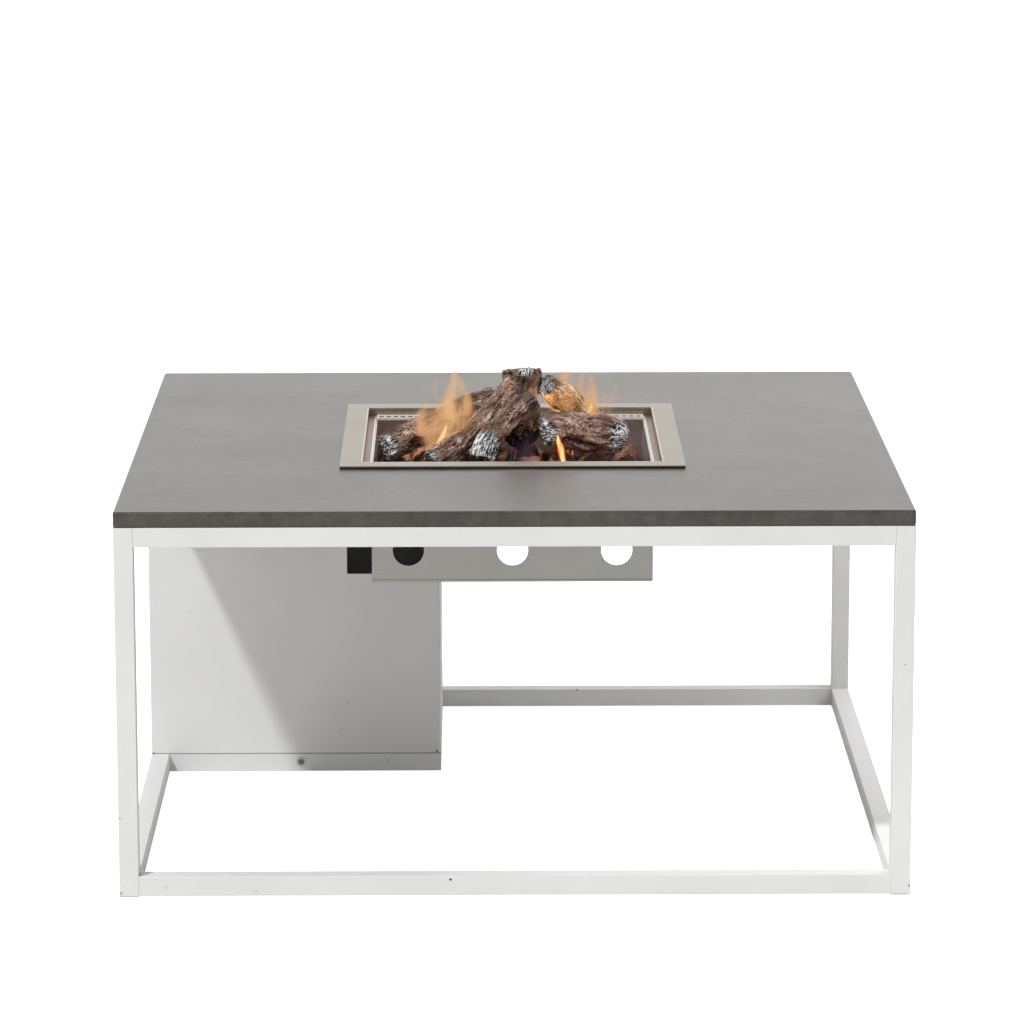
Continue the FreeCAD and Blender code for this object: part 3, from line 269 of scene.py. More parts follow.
tint(shade, (0.40, "#36322e"), (0.60, "#4f4a45"))
tree.links.new(shade.outputs["Color"], surface.inputs["Base Color"])
sheen = add(tree, "MapRange", {"Value": cloud.outputs["Fac"], "From Min": 0.3, "From Max": 0.7,
                               "To Min": 0.26, "To Max": 0.32})
tree.links.new(sheen.outputs[0], surface.inputs["Roughness"])
brushed = add(tree, "Bump", {"Height": streak.outputs["Fac"], "Strength": 0.02,
                             "Distance": 0.0003})
grained = add(tree, "Bump", {"Height": grit.outputs["Fac"], "Strength": 0.15, "Distance": 0.0003,
                             "Normal": brushed.outputs[0]})
tree.links.new(grained.outputs[0], surface.inputs["Normal"])
surface.inputs["IOR"].default_value = 1.56
dress(stone, "table_top")


# Seal: a square ring of black closed-cell foam, cut from sheet and glued under the rim's flange,
# so that the rim lies soft on the slab. Only its edge shows.

foam = moulded("black_foam", ("#0b0b0b", "#1b1a19"), 0.0020, 0.8)
dress(foam, "rim_seal")


# Burner rim, vent strips and burner box: 1.5 mm stainless sheet with a brushed finish, cut,
# folded and spot welded. Next to the fire they carry painted shade, painted pink and orange
# reflections of the fire, and painted highlights along folds and lips.

# Heights above the floor: the underside of the rim's flange, and the top of its ledges.
FLANGE_LOW = 0.4990
LEDGE_TOP = 0.4905
# Out from the burner's middle: the outside of the rim's walls, and the row of vent holes. Then
# how far apart the holes are.
WALL_OUT = 0.1975
HOLE_ROW = 0.1820
HOLE_PITCH = 0.0099


def brushed_steel(name, tones, along, rough):
    """Brushed stainless steel: straight scratches along one axis, in cloudy tones. The scratches
    are drawn up to 1 mm wide, coarser than real ones, so that they show."""
    material, tree, surface = new_finish(name)
    place = add(tree, "TexCoord", {}).outputs["Object"]
    scale = [900.0, 900.0, 900.0]
    scale[along] = 14.0
    drawn = add(tree, "Mapping", {"Vector": place, "Scale": scale})
    scratch = add(tree, "TexNoise", {"Vector": drawn.outputs[0], "Scale": 1.0, "Detail": 4.0})
    blotch = add(tree, "TexNoise", {"Vector": place, "Scale": 16.0, "Detail": 4.0})
    both = add(tree, "Mix", {0: 0.4, 2: scratch.outputs["Fac"], 3: blotch.outputs["Fac"]})
    shade = add(tree, "ValToRGB", {"Fac": both.outputs[0]})
    tint(shade, (0.3, tones[0]), (0.7, tones[1]))
    tree.links.new(shade.outputs["Color"], surface.inputs["Base Color"])
    gloss = add(tree, "MapRange", {"Value": scratch.outputs["Fac"], "From Min": 0.3,
                                   "From Max": 0.7, "To Min": rough - 0.06, "To Max": rough + 0.08})
    tree.links.new(gloss.outputs[0], surface.inputs["Roughness"])
    lines = add(tree, "Bump", {"Height": scratch.outputs["Fac"], "Strength": 0.10,
                               "Distance": 0.0002})
    tree.links.new(lines.outputs[0], surface.inputs["Normal"])
    surface.inputs["Metallic"].default_value = 1.0
    return material, tree, surface


# Lays colour in a band or patch: here mostly painted shade, painted highlights and painted
# reflections.
def colour_within(tree, surface, colour, strength, *limits):
    """Colours the places that lie within all the limits: an output, where it starts to show
    and where it is full, in metres."""
    share = strength
    for source, start, full in limits:
        inside = add(tree, "MapRange", {"Value": source, "From Min": start, "From Max": full})
        share = add(tree, "Math", {0: inside.outputs[0], 1: share},
                    operation="MULTIPLY").outputs[0]
    under = surface.inputs["Base Color"].links[0].from_socket
    laid = add(tree, "Mix", {0: share, 6: under, 7: linear(colour)}, data_type="RGBA")
    tree.links.new(laid.outputs[2], surface.inputs["Base Color"])


def measure_from_middle(tree):
    """How far to the right of the burner's middle a place is, how high, how far out to the
    nearest wall, and how far to the front or back."""
    place = add(tree, "TexCoord", {}).outputs["Object"]
    side = add(tree, "VectorMath", {0: place}, operation="ABSOLUTE")
    apart = add(tree, "SeparateXYZ", {0: side.outputs[0]})
    out = add(tree, "Math", {0: apart.outputs[0], 1: apart.outputs[1]}, operation="MAXIMUM")
    spot = add(tree, "SeparateXYZ", {0: place})
    return spot.outputs[0], spot.outputs[2], out.outputs[0], apart.outputs[1]


rim_steel, tree, surface = brushed_steel("brushed_stainless_rim", ("#a39d93", "#b6b1a8"), 0, 0.36)
right, height, out, deep = measure_from_middle(tree)
streak = tree.nodes["Noise Texture"].outputs["Fac"]
# Under the flange the walls are painted darker, as painted shade, with a painted pink
# reflection of the fire on the left and a streaky painted orange one on the right. The ledges
# are a darker brown-grey. The bright bands along the folds and the lips are painted highlights.
below = (height, FLANGE_LOW, FLANGE_LOW - 0.0010)
colour_within(tree, surface, "#928b83", 0.9, below, (out, WALL_OUT + 0.0003, WALL_OUT - 0.0003))
colour_within(tree, surface, "#c29a86", 0.8, below, (right, -0.190, -0.195))
colour_within(tree, surface, "#c08562", 0.9, below, (right, 0.190, 0.195), (streak, 0.42, 0.55))
colour_within(tree, surface, "#8b7b72", 0.9, (height, LEDGE_TOP + 0.0011, LEDGE_TOP + 0.0005),
      (out, WALL_OUT - 0.0010, WALL_OUT - 0.0015))
colour_within(tree, surface, "#e0dad2", 0.8, (height, FLANGE_LOW - 0.0006, FLANGE_LOW - 0.0001),
      (out, WALL_OUT + 0.0008, WALL_OUT + 0.0001))
colour_within(tree, surface, "#f3eeea", 0.9, (height, LEDGE_TOP + 0.0007, LEDGE_TOP + 0.0003),
      (out, 0.1876, 0.1870))
dress(rim_steel, "burner_rim")

# The strips' steel is drawn near white and rough, far lighter than the rim's, which paints in the
# light that they catch.
strip_steel, tree, surface = brushed_steel("brushed_stainless_strip", ("#efeae4", "#f8f5f1"), 0, 0.8)
right, height, out, deep = measure_from_middle(tree)
# The vent holes are punched in one row. Each is painted near black out past its cut edge, as painted
# shade.
hole_at = add(tree, "Math", {0: right, 1: HOLE_PITCH / 2, 2: -HOLE_PITCH / 2}, operation="WRAP")
row_at = add(tree, "Math", {0: deep, 1: HOLE_ROW}, operation="SUBTRACT")
round_hole = add(tree, "CombineXYZ", {0: hole_at.outputs[0], 1: row_at.outputs[0]})
from_hole = add(tree, "VectorMath", {0: round_hole.outputs[0]}, operation="LENGTH")
colour_within(tree, surface, "#1d1817", 1.0, (from_hole.outputs["Value"], 0.0042, 0.0034))
dress(strip_steel, "vent_strip_front", "vent_strip_back")

box_steel, tree, surface = brushed_steel("brushed_stainless_box", ("#9c9b98", "#aba9a5"), 0, 0.34)
right, height, out, deep = measure_from_middle(tree)
# Inside, above the pan, the box is painted a pale pink, a painted reflection of the fire. Dark
# lines painted where the sheet is folded are painted shade.
colour_within(tree, surface, "#efe7e6", 0.9, (height, 0.395, 0.400), (out, 0.1847, 0.1845))
colour_within(tree, surface, "#6d6660", 0.7, (height, 0.3412, 0.3406), (height, 0.3394, 0.3400))
colour_within(tree, surface, "#6d6660", 0.7, (out, 0.1806, 0.1812), (out, 0.1824, 0.1818))
dress(box_steel, "burner_box_front", "burner_box_back", "burner_box_left", "burner_box_right")


# Burner pan, burner and pilot parts: the stainless that stands in the fire, gone dull and brown
# with soot. The electrode has a sleeve of white ceramic, smoked by the pilot flame.

sooty_steel, tree, surface = brushed_steel("sooty_stainless", ("#201c1a", "#3d3835"), 1, 0.6)
dress(sooty_steel, "burner_pan", "burner_bars", "pilot_bracket", "flame_sensor")
smoked_ceramic = moulded("smoked_white_ceramic", ("#8f877b", "#bdb5a9"), 0.0020, 0.35)
dress(smoked_ceramic, "spark_electrode")


def turned_brass(name, tones):
    """Machined brass, with the rings that the tool leaves, drawn coarser than they are."""
    material, tree, surface = new_finish(name)
    place = add(tree, "TexCoord", {}).outputs["Object"]
    rings = add(tree, "TexWave", {"Vector": place, "Scale": 260.0, "Distortion": 1.5,
                                  "Detail": 2.0})
    age = add(tree, "TexNoise", {"Vector": place, "Scale": 120.0, "Detail": 4.0})
    shade = add(tree, "ValToRGB", {"Fac": age.outputs["Fac"]})
    tint(shade, (0.3, tones[0]), (0.7, tones[1]))
    tree.links.new(shade.outputs["Color"], surface.inputs["Base Color"])
    gloss = add(tree, "MapRange", {"Value": age.outputs["Fac"], "To Min": 0.22, "To Max": 0.42})
    tree.links.new(gloss.outputs[0], surface.inputs["Roughness"])
    cut = add(tree, "Bump", {"Height": rings.outputs["Fac"], "Strength": 0.08,
                             "Distance": 0.0002})
    tree.links.new(cut.outputs[0], surface.inputs["Normal"])
    surface.inputs["Metallic"].default_value = 1.0
    return material


brass = turned_brass("machined_brass", ("#b08d4a", "#cdaa62"))
dress(brass, "gas_injector")


# Lava stones: crushed volcanic rock in lumps of about 40 mm, full of gas bubbles, laid loose on
# the pan. It is red-brown and matt, and it is painted near black in its hollows and broken
# bubbles, as painted shade.

def take_mesh_of(node, name):
    """A new piece that starts as a merged copy of a solid, and stands for it."""
    bpy.ops.object.select_all(action="DESELECT")
    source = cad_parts[node]
    piece = bpy.data.objects.new(name, source.data.copy())
    bpy.context.scene.collection.objects.link(piece)
    bpy.context.view_layer.objects.active = piece
    piece.select_set(True)
    bpy.ops.object.mode_set(mode="EDIT")
    bpy.ops.mesh.select_all(action="SELECT")
    bpy.ops.mesh.remove_doubles(threshold=0.00002)
    bpy.ops.mesh.normals_make_consistent(inside=False)
    bpy.ops.object.mode_set(mode="OBJECT")
    piece.data.materials.clear()
    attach(piece, "table")
    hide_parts(node)
    return piece


def roughen(piece, name, kind, size, strength, middle=0.5, space=None):
    """Pushes the surface in and out by a cloud or cell pattern of a real size in metres."""
    pattern = bpy.data.textures.new(name, kind)
    pattern.noise_scale = size
    if kind == "CLOUDS":
        pattern.noise_depth = 3
    push = piece.modifiers.new(name, "DISPLACE")
    push.texture = pattern
    push.strength = strength
    push.mid_level = middle
    if space:
        push.texture_coords = "OBJECT"
        push.texture_coords_object = space
    else:
        push.texture_coords = "LOCAL"
    bpy.context.view_layer.objects.active = piece
    bpy.ops.object.modifier_apply(modifier=name)


def keep_relief(piece, before, name, depth):
    """Writes how far each point was pushed out, as a share of depth, for the colours to follow."""
    relief = piece.data.attributes.new(name, "FLOAT", "POINT")
    for vertex in piece.data.vertices:
        start, normal = before[vertex.index]
        relief.data[vertex.index].value = 0.5 + (vertex.co - start).dot(normal) / depth


def surface_now(piece):
    """Where each point is, and which way it faces."""
    return [(v.co.copy(), v.normal.copy()) for v in piece.data.vertices]


stones = take_mesh_of("lava_stones", "lava_stones_rough")
rounding = stones.modifiers.new("rounding", "SUBSURF")
rounding.levels = rounding.render_levels = 3
bpy.context.view_layer.objects.active = stones
bpy.ops.object.modifier_apply(modifier="rounding")
smooth_stones = surface_now(stones)
roughen(stones, "lump_swell", "CLOUDS", 0.024, 0.018, 0.15)
roughen(stones, "lump_broken", "CLOUDS", 0.008, 0.010)
roughen(stones, "gas_bubbles", "VORONOI", 0.004, 0.004, 0.6)
keep_relief(stones, smooth_stones, "relief", 0.022)
bpy.ops.object.select_all(action="DESELECT")
stones.select_set(True)
bpy.ops.object.shade_smooth_by_angle(angle=math.radians(50))

lava, tree, surface = new_finish("lava_rock")
place = add(tree, "TexCoord", {}).outputs["Object"]
relief = add(tree, "Attribute", {}, attribute_name="relief")
bubble = add(tree, "TexNoise", {"Vector": place, "Scale": 420.0, "Detail": 3.0, "Roughness": 0.6})
patch = add(tree, "TexNoise", {"Vector": place, "Scale": 22.0, "Detail": 2.0})
# Low relief is painted near black: painted shade in the hollows.
relief_and_grain = add(tree, "Mix", {0: 0.6, 2: relief.outputs["Fac"], 3: bubble.outputs["Fac"]})
shade = add(tree, "ValToRGB", {"Fac": relief_and_grain.outputs[0]})
tint(shade, (0.40, "#0e0a0a"), (0.52, "#4b2e27"), (0.64, "#9c6f5e"))
burnt = add(tree, "MapRange", {"Value": patch.outputs["Fac"], "From Min": 0.45, "From Max": 0.62,
                               "To Min": 0.0, "To Max": 0.7})
greyed = add(tree, "Mix", {0: burnt.outputs[0], 6: shade.outputs["Color"],
                           7: linear("#33292c")}, data_type="RGBA")
tree.links.new(greyed.outputs[2], surface.inputs["Base Color"])
surface.inputs["Roughness"].default_value = 0.9
pitted = add(tree, "Bump", {"Height": bubble.outputs["Fac"], "Strength": 0.9,
                            "Distance": 0.0025})
tree.links.new(pitted.outputs[0], surface.inputs["Normal"])
stones.data.materials.append(lava)


# Ceramic logs: ceramic fibre cast in moulds that were taken from real wood, so each has bark,
# cracks and broken ends. They are stained brown, brushed pale on the high bark and burnt black
# at the ends, with white ash, and lie loose in each other's notches.

LOG_RADIUS = 0.020


def press(piece, name, reach, strength):
    """Pushes part of a surface out, or in, by the share of the strength that each point has."""
    area = piece.vertex_groups.new(name=name)
    for index, share in reach.items():
        area.add([index], share, "REPLACE")
    push = piece.modifiers.new(name, "DISPLACE")
    push.vertex_group = name
    push.strength = strength
    push.mid_level = 0.0
    bpy.context.view_layer.objects.active = piece
    bpy.ops.object.modifier_apply(modifier=name)
    piece.vertex_groups.clear()


def distance_to_line(spot, line):
    """How far a point is from a line through several points."""
    nearest = 1.0
    for start, end in zip(line, line[1:]):
        run = end - start
        share = max(0, min(1, (spot - start).dot(run) / run.length_squared))
        nearest = min(nearest, (spot - start - run * share).length)
    return nearest


def straight_log(name, length, turn):
    """One log, straight and upright, with its bark and its broken ends. The turn is a height in
    the pattern, so that no two logs have the same bark."""
    bpy.ops.object.select_all(action="DESELECT")
    bpy.ops.mesh.primitive_cylinder_add(vertices=28, radius=LOG_RADIUS, depth=length,
                                        end_fill_type="NGON", location=(0, 0, length / 2))
    log = bpy.context.object
    log.name = name
    bpy.ops.object.transform_apply(location=True, rotation=True, scale=True)
    bpy.ops.object.mode_set(mode="EDIT")
    bpy.ops.mesh.select_mode(type="FACE")
    bpy.ops.mesh.select_all(action="DESELECT")
    bpy.ops.object.mode_set(mode="OBJECT")
    for face in log.data.polygons:
        face.select = abs(face.normal.z) > 0.9
    bpy.ops.object.mode_set(mode="EDIT")
    bpy.ops.mesh.inset(thickness=LOG_RADIUS * 0.06, use_individual=True)
    for step in range(4):
        bpy.ops.mesh.inset(thickness=LOG_RADIUS * 0.20, use_individual=True)
    bpy.ops.mesh.select_mode(type="EDGE")
    bpy.ops.mesh.select_all(action="DESELECT")
    bpy.ops.object.mode_set(mode="OBJECT")
    for edge in log.data.edges:
        a, b = (log.data.vertices[i].co for i in edge.vertices)
        edge.select = abs(a.z - b.z) > length * 0.5
    bpy.ops.object.mode_set(mode="EDIT")
    bpy.ops.mesh.subdivide(number_cuts=max(8, int(length / 0.0045)))
    bpy.ops.object.mode_set(mode="OBJECT")
    finer = log.modifiers.new("finer", "SUBSURF")
    finer.levels = finer.render_levels = 2
    bpy.ops.object.modifier_apply(modifier="finer")
    straight = log.data.attributes.new("grain", "FLOAT_VECTOR", "POINT")
    for vertex in log.data.vertices:
        straight.data[vertex.index].vector = vertex.co
    grain = bpy.data.objects.new("grain_space", None)
    bpy.context.scene.collection.objects.link(grain)
    grain.scale = (1, 1, 5)
    grain.location = (0, 0, turn)
    smooth = surface_now(log)
    roughen(log, name + "_gnarl", "CLOUDS", 0.030, 0.010)
    roughen(log, name + "_furrows", "CLOUDS", 0.006, 0.0065, 0.5, grain)
    roughen(log, name + "_flakes", "CLOUDS", 0.0032, 0.0034, 0.5, grain)
    keep_relief(log, smooth, "relief", 0.013)
    ends = [v.index for v in log.data.vertices
            if (v.co.z < 0.004 or v.co.z > length - 0.004) and v.co.xy.length < LOG_RADIUS * 0.93]
    broken = log.vertex_groups.new(name="ends")
    broken.add(ends, 1.0, "REPLACE")
    splinter = log.modifiers.new("splinter", "DISPLACE")
    splinter.texture = bpy.data.textures.new(name + "_splinter", "CLOUDS")
    splinter.texture.noise_scale = 0.006
    splinter.texture.noise_depth = 2
    splinter.texture_coords = "LOCAL"
    splinter.direction = "Z"
    splinter.vertex_group = "ends"
    splinter.strength = 0.010
    bpy.ops.object.modifier_apply(modifier="splinter")
    log.vertex_groups.clear()
    bpy.data.objects.remove(grain)
    return log


def bend_along(log, run):
    """Bends a straight log along its run, which also sets how thick it is at each point."""
    line = bpy.data.curves.new(log.name + "_line", "CURVE")
    line.dimensions = "3D"
    line.use_radius = True
    line.use_stretch = True
    line.use_deform_bounds = True
    spline = line.splines.new("BEZIER")
    spline.bezier_points.add(len(run) - 1)
    for point, (x, y, z, radius) in zip(spline.bezier_points, run):
        point.co = (x, y, z)
        point.radius = radius / LOG_RADIUS
        point.handle_left_type = point.handle_right_type = "AUTO"
    path = bpy.data.objects.new(log.name + "_line", line)
    bpy.context.scene.collection.objects.link(path)
    bend = log.modifiers.new("bend", "CURVE")
    bend.object = path
    bend.deform_axis = "POS_Z"
    bpy.context.view_layer.objects.active = log
    bpy.ops.object.modifier_apply(modifier="bend")
    bpy.data.objects.remove(path)


def open_splits(log, splits):
    """Presses cracks into a log. A split has a width, a depth and the points it runs through."""
    relief = log.data.attributes["relief"]
    for number, (width, depth, points) in enumerate(splits):
        points = [Vector(point) for point in points]
        reach = {}
        for vertex in log.data.vertices:
            share = 1 - distance_to_line(vertex.co, points) / width
            if share > 0:
                reach[vertex.index] = share
                relief.data[vertex.index].value -= 0.35 * share
        press(log, f"split{number}", reach, -depth)


def burn(log, char):
    """Writes where a log is burnt and where it has ash, for the colours to follow."""
    for name in ("burnt", "ash"):
        log.data.attributes.new(name, "FLOAT", "POINT")
    burnt = log.data.attributes["burnt"]
    ash = log.data.attributes["ash"]
    for vertex in log.data.vertices:
        for x, y, z, radius, white in char:
            near = 1 - (vertex.co - Vector((x, y, z))).length / radius
            if near > 0:
                share = min(1, near * 2.5)
                burnt.data[vertex.index].value = max(burnt.data[vertex.index].value, share)
                ash.data[vertex.index].value = max(ash.data[vertex.index].value, share * white)


def ceramic_log(name, node, paint, run, char, turn, splits=()):
    """One log, which stands for a solid. It is modelled straight with its bark, then bent along
    its run of points and radii. Char is where it is burnt: points, a radius, and how white the
    ash is there. Splits are lines of points where the wood has opened."""
    length = sum((Vector(a[:3]) - Vector(b[:3])).length for a, b in zip(run, run[1:]))
    log = straight_log(name, length, turn)
    bend_along(log, run)
    open_splits(log, splits)
    burn(log, char)
    log.data.materials.append(paint)
    bpy.ops.object.select_all(action="DESELECT")
    log.select_set(True)
    bpy.ops.object.shade_smooth_by_angle(angle=math.radians(60))
    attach(log, "table")
    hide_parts(node)


def painted_fibre(name, deep, body, high, dust):
    """Fired ceramic fibre, matt and grainy: dark in the furrows, stained on the bark, and with
    light dust brushed over the high grains. Burnt ends are black with white ash in fine lines.
    The grains are drawn 2 mm wide, coarser than the fibre's own, so that they show."""
    material, tree, surface = new_finish(name)
    grain = add(tree, "Attribute", {}, attribute_name="grain").outputs["Vector"]
    relief = add(tree, "Attribute", {}, attribute_name="relief").outputs["Fac"]
    burnt = add(tree, "Attribute", {}, attribute_name="burnt").outputs["Fac"]
    ash = add(tree, "Attribute", {}, attribute_name="ash").outputs["Fac"]
    drawn = add(tree, "Mapping", {"Vector": grain, "Scale": (1.0, 1.0, 0.22)}).outputs[0]
    short = add(tree, "Mapping", {"Vector": grain, "Scale": (1.0, 1.0, 0.45)}).outputs[0]
    bark = add(tree, "TexNoise", {"Vector": drawn, "Scale": 190.0, "Detail": 4.0,
                                  "Roughness": 0.65}).outputs["Fac"]
    speck = add(tree, "TexNoise", {"Vector": short, "Scale": 480.0, "Detail": 2.0,
                                   "Roughness": 0.6}).outputs["Fac"]
    patch = add(tree, "TexNoise", {"Vector": short, "Scale": 55.0, "Detail": 3.0}).outputs["Fac"]
    rough = add(tree, "Mix", {0: 0.5, 2: relief, 3: bark}).outputs[0]
    relief_and_grain = add(tree, "Mix", {0: 0.45, 2: rough, 3: speck}).outputs[0]
    shade = add(tree, "ValToRGB", {"Fac": relief_and_grain})
    tint(shade, (0.41, deep), (0.49, body), (0.60, high))
    darker = add(tree, "MapRange", {"Value": patch, "From Min": 0.45, "From Max": 0.62,
                                    "To Min": 0.0, "To Max": 0.65})
    stained = add(tree, "Mix", {0: darker.outputs[0], 6: shade.outputs["Color"],
                                7: linear(deep)}, data_type="RGBA")
    spread = add(tree, "Math", {0: speck, 1: patch}, operation="SUBTRACT")
    brush = add(tree, "MapRange", {"Value": spread.outputs[0], "From Min": 0.14, "From Max": 0.22,
                                   "To Min": 0.0, "To Max": 0.8})
    dusted = add(tree, "Mix", {0: brush.outputs[0], 6: stained.outputs[2], 7: linear(dust)},
                 data_type="RGBA")
    soot = add(tree, "ValToRGB", {"Fac": relief_and_grain})
    tint(soot, (0.44, "#060708"), (0.62, "#4a5058"))
    strand = add(tree, "TexNoise", {"Vector": drawn, "Scale": 340.0, "Detail": 2.0,
                                    "Roughness": 0.6, "Distortion": 0.6})
    crest = add(tree, "Math", {0: strand.outputs["Fac"], 1: 0.5}, operation="SUBTRACT")
    ridge = add(tree, "Math", {0: crest.outputs[0]}, operation="ABSOLUTE")
    thread = add(tree, "MapRange", {"Value": ridge.outputs[0], "From Min": 0.055,
                                    "From Max": 0.030, "To Min": 0.0, "To Max": 1.0})
    ashen = add(tree, "Math", {0: thread.outputs[0], 1: ash}, operation="MULTIPLY")
    charred = add(tree, "Mix", {0: ashen.outputs[0], 6: soot.outputs["Color"],
                                7: linear("#f2f5f7")}, data_type="RGBA")
    edge = add(tree, "Math", {0: burnt, 1: bark}, operation="ADD")
    ragged = add(tree, "MapRange", {"Value": edge.outputs[0], "From Min": 0.85, "From Max": 1.0})
    whole = add(tree, "Mix", {0: ragged.outputs[0], 6: dusted.outputs[2], 7: charred.outputs[2]},
                data_type="RGBA")
    tree.links.new(whole.outputs[2], surface.inputs["Base Color"])
    surface.inputs["Roughness"].default_value = 0.9
    cracked = add(tree, "Bump", {"Height": bark, "Strength": 0.7, "Distance": 0.002})
    grainy = add(tree, "Bump", {"Height": speck, "Strength": 0.7, "Distance": 0.0010,
                                "Normal": cracked.outputs[0]})
    tree.links.new(grainy.outputs[0], surface.inputs["Normal"])
    return material


brown_fibre = painted_fibre("brown_ceramic_fibre", "#251a16", "#7c6053", "#b39584", "#d3c4b4")
mauve_fibre = painted_fibre("mauve_ceramic_fibre", "#35241e", "#85675b", "#b4968a", "#cbb9a8")
tan_fibre = painted_fibre("tan_ceramic_fibre", "#6a5140", "#bd9a78", "#dfc8aa", "#efe3d0")
# The log under the pile is drawn near black, darker than the others, which paints in the shade it
# lies in under them.
black_fibre = painted_fibre("shade_dark_ceramic_fibre", "#0b0807", "#33261f", "#6d5b51", "#8f8073")

ceramic_log(
    "log_main_bark", "log_main", brown_fibre,
    [(0.015, 0.080, 0.578, 0.0256), (0.015, 0.076, 0.559, 0.0272), (0.005, 0.066, 0.542, 0.0238),
     (-0.015, 0.050, 0.526, 0.0183), (-0.039, 0.030, 0.508, 0.0176),
     (-0.059, 0.014, 0.492, 0.0183), (-0.080, 0.000, 0.474, 0.0216),
     (-0.108, -0.014, 0.456, 0.0216)],
    [(0.019, 0.062, 0.577, 0.015, 1.0), (-0.111, -0.020, 0.466, 0.019, 0.5)], 0.013)
ceramic_log(
    "log_charred_bark", "log_charred", brown_fibre,
    [(0.035, 0.030, 0.545, 0.0129), (0.019, 0.022, 0.536, 0.0149), (-0.000, 0.010, 0.522, 0.0148),
     (-0.017, -0.002, 0.509, 0.0155), (-0.029, -0.012, 0.494, 0.0168),
     (-0.036, -0.018, 0.482, 0.0175), (-0.041, -0.024, 0.468, 0.0175)],
    [(-0.036, -0.030, 0.484, 0.030, 1.0)], 0.171)
ceramic_log(
    "log_rear_bark", "log_rear", brown_fibre,
    [(-0.175, 0.024, 0.475, 0.0183), (-0.159, 0.032, 0.481, 0.0190),
     (-0.125, 0.048, 0.493, 0.0197), (-0.086, 0.066, 0.506, 0.0198),
     (-0.054, 0.082, 0.519, 0.0205), (-0.030, 0.096, 0.526, 0.0192),
     (-0.006, 0.108, 0.532, 0.0164)],
    [(-0.173, 0.008, 0.477, 0.028, 1.0), (-0.013, 0.096, 0.549, 0.018, 0.5)], 0.277)
ceramic_log(
    "log_back_bark", "log_back", tan_fibre,
    [(0.046, 0.056, 0.560, 0.0143), (0.059, 0.068, 0.549, 0.0170), (0.075, 0.080, 0.533, 0.0191),
     (0.089, 0.096, 0.516, 0.0198), (0.108, 0.116, 0.496, 0.0199), (0.122, 0.132, 0.477, 0.0179)],
    [(0.041, 0.048, 0.563, 0.024, 0.8)], 0.391)
ceramic_log(
    "log_right_bark", "log_right", mauve_fibre,
    [(0.039, 0.016, 0.498, 0.0176), (0.053, 0.020, 0.502, 0.0237), (0.076, 0.024, 0.500, 0.0257),
     (0.103, 0.028, 0.494, 0.0268), (0.126, 0.031, 0.492, 0.0264), (0.144, 0.034, 0.488, 0.0217),
     (0.157, 0.036, 0.483, 0.0122)],
    [(0.041, 0.002, 0.499, 0.026, 1.0), (0.154, 0.022, 0.487, 0.034, 1.0)], 0.503,
    splits=[(0.0045, 0.007, [(0.067, 0.002, 0.494), (0.094, 0.002, 0.487), (0.121, 0.004, 0.478)])])
ceramic_log(
    "log_under_bark", "log_under", black_fibre,
    [(0.038, 0.072, 0.513, 0.0150), (0.025, 0.062, 0.502, 0.0197), (0.010, 0.052, 0.490, 0.0211),
     (-0.001, 0.044, 0.481, 0.0197)],
    [], 0.619)


# Fire: yellow gas flames that come up between the stones, with a trace of blue low down. They are
# light and no piece of the table, so they stand with the studio.

